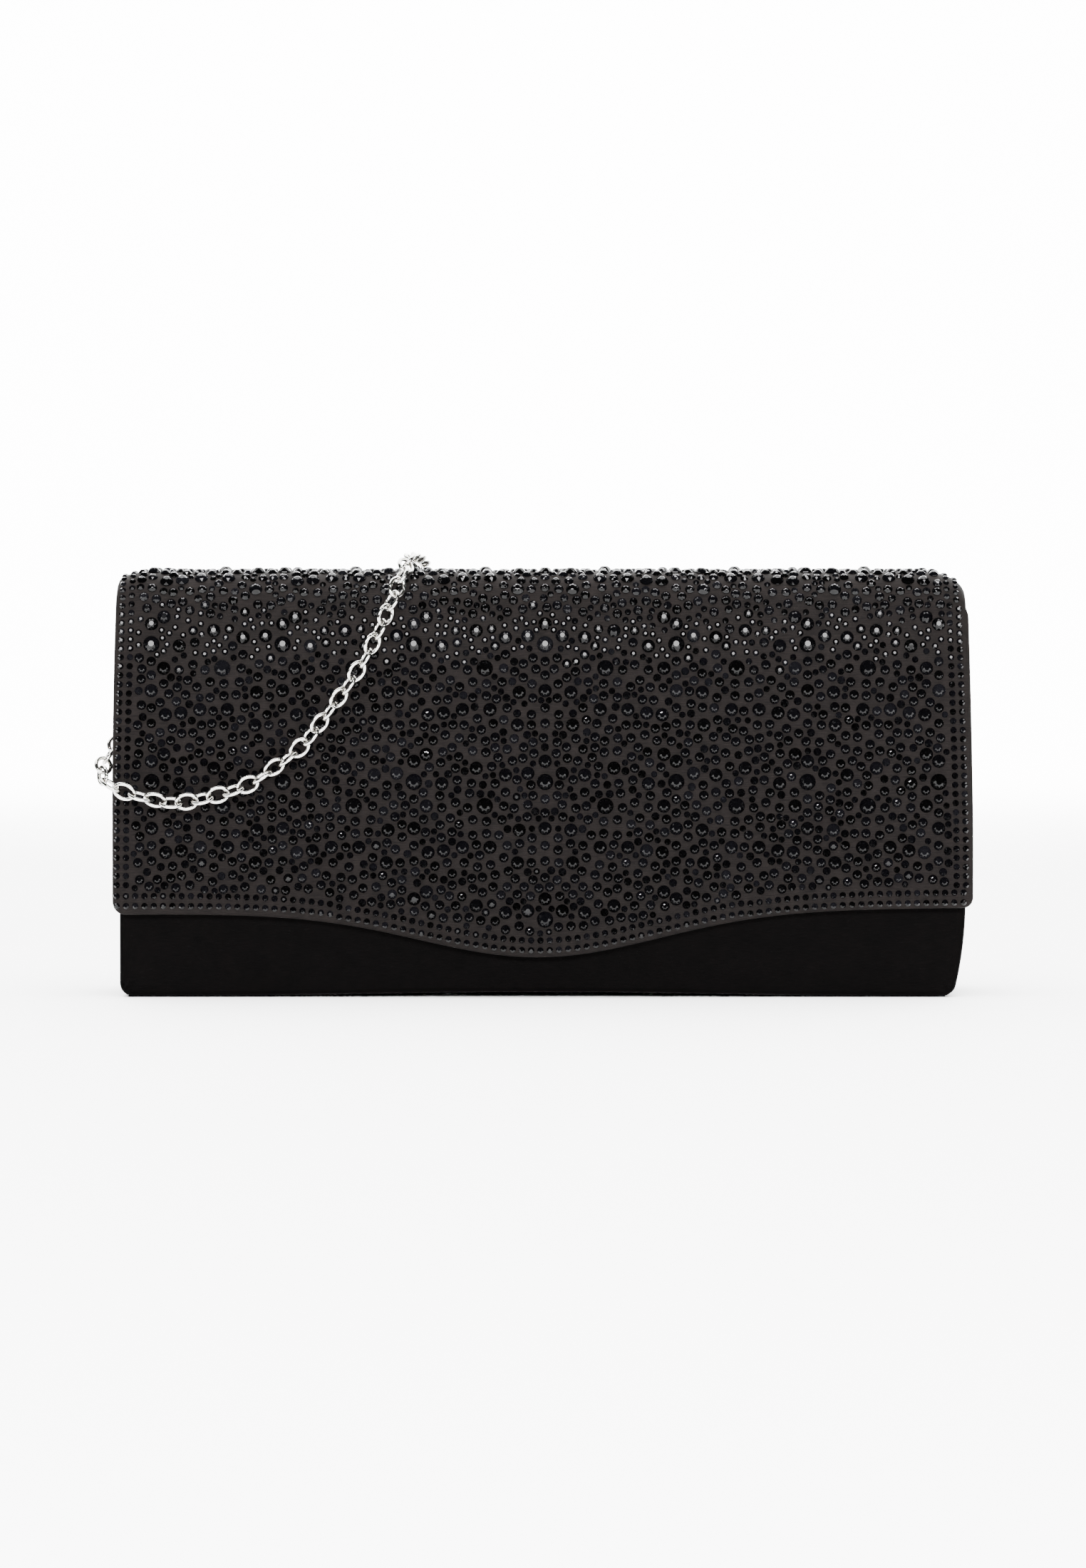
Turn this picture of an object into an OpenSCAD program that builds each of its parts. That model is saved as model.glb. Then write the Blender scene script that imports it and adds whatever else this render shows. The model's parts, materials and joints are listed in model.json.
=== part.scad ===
// Evening bag: a stiffened satin envelope clutch with a crystal-covered flap and a silver chain.
// Frame: +X to the wearer's right as the front is seen, -Y to the front, +Z up.
// The origin is on the table, under the middle of the bag.

/* [Bag] */
// Width across the flap
flap_w = 250; // [240:1:260]
// Height of the flap's crest above the table
crest_z = 124; // [120:1:128]
// Width of the body under the flap
body_w = 247; // [236:1:250]
// Depth from the flap's outer face to the back cover's outer face
bag_d = 49.4; // [44:0.2:56]
// Height of the front panel
front_h = 105; // [98:1:106]
// Height of the back panel, below the hinge
back_h = 116.5; // [110:0.5:117]
// Height of the two gussets
gusset_h = 104; // [90:1:105]
// Rise of the base between the two ends that it stands on
base_rise = 1.2; // [0:0.1:2]

/* [Flap] */
// Radius of the front fold
fold_r = 11; // [9:0.5:13]
// Radius of the gentle bow of the flap's face, under the fold
bow_r = 140; // [120:5:160]
// Height of the flap's lower edge at its two ends
edge_z = 25.3; // [22:0.1:30]
// Depth of the tongue in the middle of the lower edge
tongue_d = 13.4; // [8:0.2:16]
// Spread of the tongue to each side
tongue_s = 34.5; // [28:0.5:40]
// Gap between the flap's lining and the front panel
flap_gap = 2.6; // [2.4:0.1:3.5]

/* [Layers] */
// Thickness of the outer satin with its backing
cover_t = 0.5; // [0.3:0.1:0.8]
// Thickness of the stiffening board
board_t = 1.5; // [1:0.1:1.8]
// Thickness of the lining
lining_t = 0.4; // [0.3:0.1:0.6]
// Depth of the inward fold of each gusset at its top
fold_in = 12; // [6:0.5:14]

/* [Crystals] */
// Diameter of the largest stones
stone_20 = 4.8; // [4.6:0.1:5]
// Diameter of the second size of stones
stone_16 = 3.9; // [3.8:0.1:4]
// Diameter of the border stones
stone_6 = 2; // [1.9:0.1:2.1]
// Pitch of the border stones
border_pitch = 2.7; // [2.6:0.1:3.2]

/* [Chain and hardware] */
// Width of the chain, across its links
chain_d = 4.9; // [4.5:0.1:5]
// Diameter of the D rings' wire
ring_wire = 1.4; // [1.2:0.1:1.6]
// Clear width inside a D ring
ring_w = 6.4; // [6:0.2:7]
// Diameter of the magnetic snap
snap_d = 14; // [12:1:18]

/* [Hidden] */
eps = 0.01;
big = 400;
charcoal = [0.23, 0.2, 0.185];
black_satin = [0.07, 0.055, 0.05];
lining_grey = [0.16, 0.15, 0.16];
board_grey = [0.55, 0.53, 0.5];
jet = [0.04, 0.04, 0.045];
silver = [0.82, 0.82, 0.84];

panel_t = cover_t + board_t + lining_t;
flap_y = -bag_d / 2 - 0.4;       // outer face of the flap
back_y = bag_d / 2 - 0.4;        // outer face of the back cover
front_y = flap_y + panel_t + flap_gap;   // outer face of the front cover
left_x = -body_w / 2;
right_x = body_w / 2 - 0.2;
seam_gap = 0.3;
inner_front = front_y + panel_t + seam_gap;
inner_back = back_y - panel_t;

// The flap turns about a line just outside the top back edge, where the chain crosses it.
hinge_y = back_y + 0.6;
hinge_z = crest_z - 1.8;
hinge_w = 220;
// The front panel tips about its lower front edge.
tip_z = 0.3;

// ---------------------------------------------------------------- section of the flap
// Headings run from 0, straight up the face, over the fold at 90, to the hinge.
bow_a = 13;
rear_a = 98;
top_r = 229;
bow_z = crest_z - fold_r - (bow_r - fold_r) * sin(bow_a);
bow_c = [flap_y + bow_r, bow_z];
fold_c = bow_c + (bow_r - fold_r) * [-cos(bow_a), sin(bow_a)];
top_c = fold_c + [0, fold_r - top_r];

function on_arc(c, r, a) = c + r * [-cos(a), sin(a)];
function arc_points(c, r, a0, a1, n) = [for (i = [0:n]) on_arc(c, r, a0 + (a1 - a0) * i / n)];
// Points [y, z] up the face, over the fold and back to the hinge, at a depth d under the surface
function section(d, z0 = 0) = concat(
    [[flap_y + d, z0]],
    arc_points(bow_c, bow_r - d, 0, bow_a, 6),
    arc_points(fold_c, fold_r - d, bow_a + 3.85, 90, 19),
    arc_points(top_c, top_r - d, 91, rear_a, 7)
);
function backward(list) = [for (i = [len(list) - 1:-1:0]) list[i]];

// Distance along the section to [heading, point]: the face is measured from the table up.
bow_len = bow_r * bow_a * PI / 180;
fold_len = fold_r * (90 - bow_a) * PI / 180;
function heading(v) =
    v < bow_z ? 0
    : v < bow_z + bow_len ? (v - bow_z) / bow_r * 180 / PI
    : v < bow_z + bow_len + fold_len ? bow_a + (v - bow_z - bow_len) / fold_r * 180 / PI
    : 90 + (v - bow_z - bow_len - fold_len) / top_r * 180 / PI;
function on_section(v) = let (a = heading(v))
    v < bow_z ? [flap_y, v]
    : a < bow_a ? on_arc(bow_c, bow_r, a)
    : a < 90 ? on_arc(fold_c, fold_r, a)
    : on_arc(top_c, top_r, a);

// ---------------------------------------------------------------- outline of the flap
lean_left = 0.6;       // the two sides of the flap lean in a little towards the top
lean_right = 1.6;
tongue_x = -1;
function lower_edge(x) = edge_z + 0.008 * x - tongue_d * exp(-pow((x - tongue_x) / tongue_s, 2) / 2);
function corner(c, r, a0, a1, n) = [for (i = [0:n]) let (a = a0 + (a1 - a0) * i / n) c + r * [cos(a), sin(a)]];
module flap_outline(inset) {
    half = flap_w / 2 - inset;
    left_r = 3.5 - inset;
    right_r = 7.5 - inset;
    low_r = 2.5 - inset;
    top = crest_z - inset;
    polygon(concat(
        corner([-half + low_r, lower_edge(-half) + inset + low_r], low_r, 180, 270, 6),
        [for (x = [-half + low_r + 3:4:half - low_r - 1]) [x, lower_edge(x) + inset]],
        corner([half - low_r, lower_edge(half) + inset + low_r], low_r, 270, 360, 6),
        corner([half - lean_right - right_r, top - right_r + 0.4], right_r, 0, 80, 8),
        [[half - 30, top + 1.2], [-half + 14, top + 1.2]],
        corner([-half + lean_left + left_r, top - left_r - 0.2], left_r, 100, 180, 6)
    ));
}

// One layer of the flap between two depths, with its edges set in by inset
module flap_layer(d0, d1, inset, over = 0) {
    difference() {
        intersection() {
            rotate([90, 0, 90])
                linear_extrude(flap_w + 20, center = true)
                    polygon(concat(section(d0), backward(section(d1))));
            rotate([90, 0, 0])
                linear_extrude(big, center = true)
                    flap_outline(inset);
        }
        ring_notch(-1, inset);
        ring_notch(1, inset);
    }
}
// The flap's rear corners are cut back to leave room for the D rings.
notch_y = hinge_y - 13;
module ring_notch(side, inset) {
    w = 40;
    translate([side * (hinge_w / 2 + w / 2 - inset), notch_y - inset + 20, crest_z])
        cube([w, 40, 40], center = true);
}

// ---------------------------------------------------------------- body panels
rise_half = 108;
function rise(x) = abs(x) < rise_half ? base_rise * (1 + cos(180 * x / rise_half)) / 2 : 0;
// The left side leans in above the flap's lower edge, where the chain passes it. The right side
// curves in towards the table.
lean_low = 28;
lean_high = 62;
lean_by = 3.2;
function left_at(z) = let (t = min(1, max(0, (z - lean_low) / (lean_high - lean_low))))
    left_x + lean_by * t * t * (3 - 2 * t);
curve_z = 28;
curve_r = 109;
function right_at(z) = z < curve_z
    ? right_x - curve_r + curve_r * cos(asin((curve_z - z) / curve_r)) : right_x;
module panel_outline(low, high, inset) {
    r = 2;
    xr = right_at(2) - inset;
    polygon(concat(
        corner([left_x + inset + r, low + r], r, 180, 270, 5),
        [for (x = [-115:5:115]) [x, low + rise(x)]],
        corner([xr - r, low + r], r, 270, 350, 5),
        [for (z = [6:4:curve_z]) [right_at(z) - inset, z]],
        corner([right_x - inset - r, high - r], r, 0, 90, 5),
        corner([left_at(high) + inset + r, high - r], r, 90, 180, 5),
        [for (z = [lean_high + 2:-4:lean_low]) [left_at(z) + inset, z]]
    ));
}
// An upright sheet of the body from depth y0 to y1
module upright(y0, y1, low, high, inset = 0) {
    translate([0, y1, 0])
        rotate([90, 0, 0])
            linear_extrude(y1 - y0)
                panel_outline(low, high, inset);
}

module back_cover() {
    color(black_satin) upright(back_y - cover_t, back_y, cover_t, back_h);
}
module back_board() {
    color(board_grey)
        upright(back_y - cover_t - board_t, back_y - cover_t, cover_t, back_h - 0.2, 0.5);
}
module back_lining() {
    color(lining_grey) upright(inner_back, inner_back + lining_t, cover_t, back_h, 0.5);
}

// A pocket for a card or a mirror, sewn to the back lining on three sides
pocket_w = 140;
pocket_h = 68;
pocket_z = 28;
module slip_pocket() {
    color(lining_grey) {
        translate([-pocket_w / 2, inner_back - 0.4, pocket_z]) cube([pocket_w, 0.4, pocket_h]);
        translate([-pocket_w / 2, inner_back - 1, pocket_z + pocket_h - 6]) cube([pocket_w, 0.6, 6]);
    }
}

// Base sheets follow the rise of the base
base_right = right_at(1) - 2.2;
base_left = left_x + 2.2;
module base_sheet(low, high, y0) {
    xs = concat([base_left], [for (x = [-115:5:115]) x], [base_right]);
    translate([0, inner_back, 0])
        rotate([90, 0, 0])
            linear_extrude(inner_back - y0)
                polygon(concat(
                    [for (x = xs) [x, low + rise(x)]],
                    [for (x = backward(xs)) [x, high + rise(x)]]
                ));
}
module base_cover() {
    color(black_satin) {
        base_sheet(0, cover_t, inner_front);
        // the cover runs on under the back panel to its outer face
        translate([0, back_y - inner_back, 0]) base_sheet(0, cover_t, inner_back - panel_t);
    }
}
module base_board() {
    color(board_grey) base_sheet(cover_t, cover_t + board_t, inner_front);
}
module base_lining() {
    color(lining_grey) base_sheet(cover_t + board_t, panel_t, inner_front);
}

// ---------------------------------------------------------------- gussets
// A gusset is a soft wall with one inward fold, which is deepest at its top.
gusset_t = 1.2;
gusset_levels = 12;
gusset_steps = 14;
function fold_at(y, z) = let (
    mid = (inner_front + inner_back) / 2,
    t = (y - mid) / ((inner_back - inner_front) / 2),
    up = max(0, (z - 18) / (gusset_h - 18))
) fold_in * up * (1 + cos(180 * t)) / 2;
function side_at(side, z) = side < 0 ? left_at(z) : right_at(z);
// One sheet of a gusset between two depths under its outer face
module gusset_sheet(side, d0, d1, low, high) {
    row = 2 * (gusset_steps + 1);
    points = [for (k = [0:gusset_levels]) let (z = low + (high - low) * k / gusset_levels)
        each [for (j = [0:row - 1]) let (
            out = j <= gusset_steps,
            i = out ? j : row - 1 - j,
            y = inner_front + (inner_back - inner_front) * i / gusset_steps,
            d = out ? d0 : d1
        ) [side_at(side, z) - side * (fold_at(y, z) + d), y, z]]];
    walls = [for (k = [0:gusset_levels - 1], j = [0:row - 1]) let (
        a = k * row + j,
        b = k * row + (j + 1) % row
    ) each [[a, b, b + row], [a, b + row, a + row]]];
    top = gusset_levels * row;
    caps = [for (i = [0:gusset_steps - 1]) let (a = i, b = i + 1, c = row - 2 - i, d = row - 1 - i)
        each [[b, a, d], [b, d, c], [top + a, top + b, top + d], [top + b, top + c, top + d]]];
    faces = concat(walls, caps);
    polyhedron(points, side < 0 ? faces : [for (f = faces) backward(f)]);
}
module left_gusset() {
    color(black_satin) gusset_sheet(-1, 0, gusset_t, 0.6, gusset_h);
}
module right_gusset() {
    color(black_satin) gusset_sheet(1, 0, gusset_t, 0.6, gusset_h);
}
module left_gusset_lining() {
    color(lining_grey) gusset_sheet(-1, gusset_t + 0.1, gusset_t + 0.1 + lining_t, 0.6, gusset_h);
}
module right_gusset_lining() {
    color(lining_grey) gusset_sheet(1, gusset_t + 0.1, gusset_t + 0.1 + lining_t, 0.6, gusset_h);
}

// ---------------------------------------------------------------- hinge
// Satin rolls from the back cover towards the flap; the flap's own satin meets it there.
roll_r = 3.7;
module hinge_satin() {
    c = [back_y - roll_r, back_h + 1.5];
    color(charcoal)
        rotate([90, 0, 90])
            linear_extrude(hinge_w - 2, center = true)
                polygon(concat(
                    [[back_y, back_h]],
                    [for (a = [0:15:75]) c + roll_r * [cos(a), sin(a)]],
                    [for (a = [75:-15:0]) c + (roll_r - cover_t) * [cos(a), sin(a)]],
                    [[back_y - cover_t, back_h]]
                ));
}
module hinge_lining() {
    color(lining_grey)
        translate([0, inner_back + lining_t / 2, back_h + 1.2])
            cube([hinge_w - 2, lining_t, 2.4], center = true);
}

// ---------------------------------------------------------------- D rings and their tabs
ring_x = 117;
ring_leg = 3;
tab_w = 5;
tab_h = 13;
wire_r = ring_wire / 2;
leg_x = (ring_w + ring_wire) / 2;
left_hang = -129;    // the left ring is drawn forward and down by the chain
right_hang = -78;    // the right ring hangs behind the bag
module d_ring(hang, x) {
    translate([x, hinge_y, hinge_z])
        rotate([hang, 0, 0]) {
            rotate([0, 90, 0]) cylinder(h = 2 * leg_x, r = wire_r, center = true, $fn = 24);
            for (s = [-1, 1]) translate([s * leg_x, 0, 0]) {
                sphere(wire_r, $fn = 24);
                rotate([-90, 0, 0]) cylinder(h = ring_leg, r = wire_r, $fn = 24);
            }
            translate([0, ring_leg, 0])
                rotate_extrude(angle = 180, $fn = 48)
                    translate([leg_x, 0]) circle(wire_r, $fn = 24);
        }
}
module ring_tab(x) {
    ply = 0.5;
    loop_r = wire_r + 0.1 + ply;
    color(black_satin)
        translate([x, 0, 0])
            difference() {
                union() {
                    translate([0, hinge_y, hinge_z])
                        rotate([0, 90, 0])
                            cylinder(h = tab_w, r = loop_r, center = true, $fn = 32);
                    translate([-tab_w / 2, back_y, hinge_z - tab_h])
                        cube([tab_w, 2 * ply, tab_h]);
                }
                translate([0, hinge_y, hinge_z])
                    rotate([0, 90, 0])
                        cylinder(h = tab_w + 1, r = wire_r + 0.1, center = true, $fn = 32);
            }
}
module left_ring_tab() { ring_tab(-ring_x); }
module right_ring_tab() { ring_tab(ring_x); }
module left_ring() { color(silver) d_ring(left_hang, -ring_x); }
module right_ring() { color(silver) d_ring(right_hang, ring_x); }

// ---------------------------------------------------------------- front panel
module front_cover() {
    color(black_satin) upright(front_y, front_y + cover_t, tip_z, front_h);
}
module front_board() {
    color(board_grey)
        upright(front_y + cover_t, front_y + cover_t + board_t, tip_z + 0.2, front_h - 0.2, 0.5);
}
module front_lining() {
    color(lining_grey)
        upright(front_y + cover_t + board_t, front_y + panel_t, tip_z + 0.2, front_h, 0.5);
}

// ---------------------------------------------------------------- magnetic snap
snap_z = 21;
plate_w = 18;
nub_r = 2;
function snap_x() = tongue_x;
// Anything round on the snap's axis, from depth y0 back to y1
module snap_disc(y0, y1, r) {
    translate([snap_x(), y1, snap_z])
        rotate([90, 0, 0])
            cylinder(h = y1 - y0, r = r, $fn = 48);
}
module snap_socket() {
    color(silver)
        difference() {
            union() {
                snap_disc(front_y - 1.4, front_y, snap_d / 2);
                snap_disc(front_y - 1.7, front_y, snap_d / 2 - 2.2);
            }
            snap_disc(front_y - 2, front_y + 1, nub_r + 0.9);
        }
}
module snap_socket_plate() {
    color(silver)
        difference() {
            translate([snap_x() - plate_w / 2, front_y + panel_t, snap_z - 5]) cube([plate_w, 0.25, 10]);
            snap_disc(front_y, front_y + 5, 3);
        }
}
module snap_stud() {
    back = flap_y + panel_t;
    color(silver) {
        snap_disc(back, back + 0.5, snap_d / 2);
        snap_disc(back + 0.5 - eps, back + 1.9, nub_r);
    }
}
module snap_stud_plate() {
    color(silver)
        translate([snap_x() - plate_w / 2, flap_y + cover_t + board_t - 0.3, snap_z - 5])
            cube([plate_w, 0.3, 10]);
}

// ---------------------------------------------------------------- flap
module flap_cover() {
    color(charcoal)
        difference() {
            flap_layer(0, panel_t, 0);
            flap_layer(cover_t, panel_t + 1, 0.8);
        }
}
module flap_board() {
    color(board_grey)
        difference() {
            flap_layer(cover_t, cover_t + board_t, 0.8);
            snap_stud_plate();
        }
}
module flap_lining() {
    color(lining_grey) flap_layer(cover_t + board_t, panel_t, 0.8);
}

// ---------------------------------------------------------------- crystals
// A flat-backed stone with a bevelled crown, standing on the flap at a place across and along it
module stone(x, v, d) {
    p = on_section(v);
    translate([x, p[0], p[1]])
        rotate([90 - heading(v), 0, 0])
            cylinder(h = 0.4 * d, r1 = d / 2, r2 = 0.21 * d, $fn = 16);
}
// The border is two rows along the lower edge and two columns up each side.
row_1 = 2.1;
row_2 = 5;
column_x = flap_w / 2 - 3.4;
column_step = 2.7;
top_v = 150;      // stones stop short of the hinge
module border_crystals() {
    color(jet) {
        for (x = [-column_x:border_pitch:column_x], up = [row_1, row_2])
            stone(x, lower_edge(x) + up, stone_6);
        for (side = [-1, 1], c = [0, 1], v = [edge_z + row_2 + border_pitch:border_pitch:top_v - 3])
            stone(side * (column_x - c * column_step - side_lean(side, v)), v, stone_6);
    }
}
// The columns follow the lean of the flap's sides and its rounded shoulders
function side_lean(side, v) =
    (side < 0 ? lean_left : lean_right) * min(1, (v - edge_z) / (crest_z - edge_z))
    + max(0, (v - (side < 0 ? 124 : 116)) / 5);

// The larger stones repeat in a motif, mirrored about the middle of the flap.
motif_w = 38.1;
motif_h = 40;
motif_x = 0.6;
motif_20 = [[17.5, 96], [0, 63]];
motif_16 = [
    [7.5, 89], [16, 84], [24, 84], [29.5, 83], [34, 82.5], [34.5, 96], [0, 89.5],
    [8, 79.5], [34.5, 71], [0, 69], [20, 67], [11.5, 65], [5, 65.5], [30, 62.5]
];
module motif(places, d) {
    for (row = [-2:2], col = [0:3], p = places, side = [-1, 1]) {
        x = motif_x + side * (p[0] + col * motif_w);
        v = p[1] + row * motif_h;
        twin = side < 0 && p[0] + col * motif_w < 0.1;
        clear_x = column_x - column_step - side_lean(side, v) - (d + stone_6) / 2 - 0.4;
        clear_v = lower_edge(x) + row_2 + (d + stone_6) / 2 + 0.9;
        if (!twin && abs(x) < clear_x && v > clear_v && v < top_v)
            stone(x, v, d);
    }
}
module large_crystals() { color(jet) motif(motif_20, stone_20); }
module medium_crystals() { color(jet) motif(motif_16, stone_16); }

// ---------------------------------------------------------------- chain
// The front stretch: from the left ring, round the flap's left edge, across its face and over the top
route_front = [
    [-117, 18.7, 115], [-119.5, 14, 109.5], [-121.8, 7, 101], [-122.9, -1, 91], [-123.2, -8, 82.5],
    [-123.6, -14.5, 75.5], [-126.4, -19.5, 70.6], [-127.9, -23.5, 67.2], [-127.4, -27.2, 64.3],
    [-124.5, -29.4, 61.8], [-118, -29.8, 59.3], [-109, -29.8, 57.3], [-104, -29.8, 57.3],
    [-94.5, -29.8, 59.3], [-85, -29.8, 62.6], [-77, -29.8, 68], [-70, -29.8, 73.5],
    [-61, -29.8, 85], [-56, -29.6, 92], [-51, -29, 100], [-45.5, -27.5, 111], [-42, -25, 118.5],
    [-39.5, -21.3, 124.5], [-37.5, -16, 127.8], [-36.5, -9, 128.8], [-36, 0, 128.6],
    [-36, 9, 128], [-36, 14.5, 126.6], [-36, 19, 125.2]
];
// The rear stretch: down behind the bag to the coil on the table
route_rear = [
    [-36, 27.1, 118.4], [-36, 27.1, 106], [-36, 27.1, 94], [-36, 27.1, 82], [-36, 27.1, 70],
    [-36, 27.1, 58], [-36, 27.1, 46], [-36, 27.1, 34], [-36, 27.2, 22], [-35.4, 27.6, 13],
    [-32.5, 28.6, 6.5], [-26, 29.9, 3], [-16, 31, 2.5], [-7, 31.5, 2.5]
];
// The last stretch: from the coil along the table and up to the right ring
route_end = [
    [8, 31.3, 7.3], [18, 31, 5.6], [29, 30.6, 3], [42, 30.3, 2.5], [55, 30, 2.5], [68, 30, 2.5],
    [81, 30, 2.5], [94, 30, 2.5], [105, 30, 2.6], [114, 29.8, 4.4], [120, 29.5, 9.5],
    [122.5, 29, 18], [123, 28.5, 30], [122.6, 28.2, 44], [122, 28.1, 58], [121, 28.1, 72],
    [119.8, 28.1, 86], [118.3, 28.1, 99], [117.3, 28.2, 106], [117, 28.3, 112]
];
coil_c = [0, 56.5];
coil_in = 17.5;
coil_out = 27.5;
coil_h = 2 * chain_d;

function unit(v) = v / norm(v);
function tangents(p) = [for (i = [0:len(p) - 1])
    unit(p[min(i + 1, len(p) - 1)] - p[max(i - 1, 0)])];
// Side directions that turn as little as possible from one ring to the next
function sides_of(t, n, i = 0) = i == len(t) ? []
    : let (s = unit(n - (n * t[i]) * t[i])) concat([s], sides_of(t, s, i + 1));
module tube(p, r, first_side, sides = 8) {
    t = tangents(p);
    s = sides_of(t, first_side);
    points = [for (i = [0:len(p) - 1]) let (u = cross(t[i], s[i]))
        each [for (k = [0:sides - 1]) let (a = 360 * k / sides)
            p[i] + r * (cos(a) * s[i] + sin(a) * u)]];
    walls = [for (i = [0:len(p) - 2], k = [0:sides - 1]) let (
        a = i * sides + k,
        b = i * sides + (k + 1) % sides
    ) each [[a, b + sides, b], [a, a + sides, b + sides]]];
    ends = [[for (k = [0:sides - 1]) k], [for (k = [sides - 1:-1:0]) (len(p) - 1) * sides + k]];
    polyhedron(points, concat(walls, ends));
}
module chain_front() { color(silver) tube(route_front, chain_d / 2, [1, 0, 0]); }
module chain_rear() { color(silver) tube(route_rear, chain_d / 2, [1, 0, 0]); }
module chain_end() { color(silver) tube(route_end, chain_d / 2, [0, 1, 0]); }
module chain_coil() {
    color(silver)
        translate([coil_c[0], coil_c[1], 0])
            rotate_extrude($fn = 64)
                translate([coil_in, 0]) square([coil_out - coil_in, coil_h]);
}

back_cover();
back_board();
back_lining();
slip_pocket();
base_cover();
base_board();
base_lining();
left_gusset();
right_gusset();
left_gusset_lining();
right_gusset_lining();
hinge_satin();
hinge_lining();
left_ring_tab();
right_ring_tab();
front_cover();
front_board();
front_lining();
snap_socket();
snap_socket_plate();
flap_cover();
flap_board();
flap_lining();
snap_stud();
snap_stud_plate();
border_crystals();
large_crystals();
medium_crystals();
left_ring();
right_ring();
chain_front();
chain_rear();
chain_coil();
chain_end();
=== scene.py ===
# %% [markdown]
# # An evening bag covered in crystals
# The bag is an envelope clutch: a flat box of satin over stiff board, and one large flap that wraps over
# the top and hangs down the front. The flap is covered with black crystals, and a silver chain is laid over
# it.
#
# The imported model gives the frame: which solids there are, where they sit and how they turn. Here each
# solid is either kept, with a real finish, or replaced by a softer and finer piece in the same place.

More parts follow.
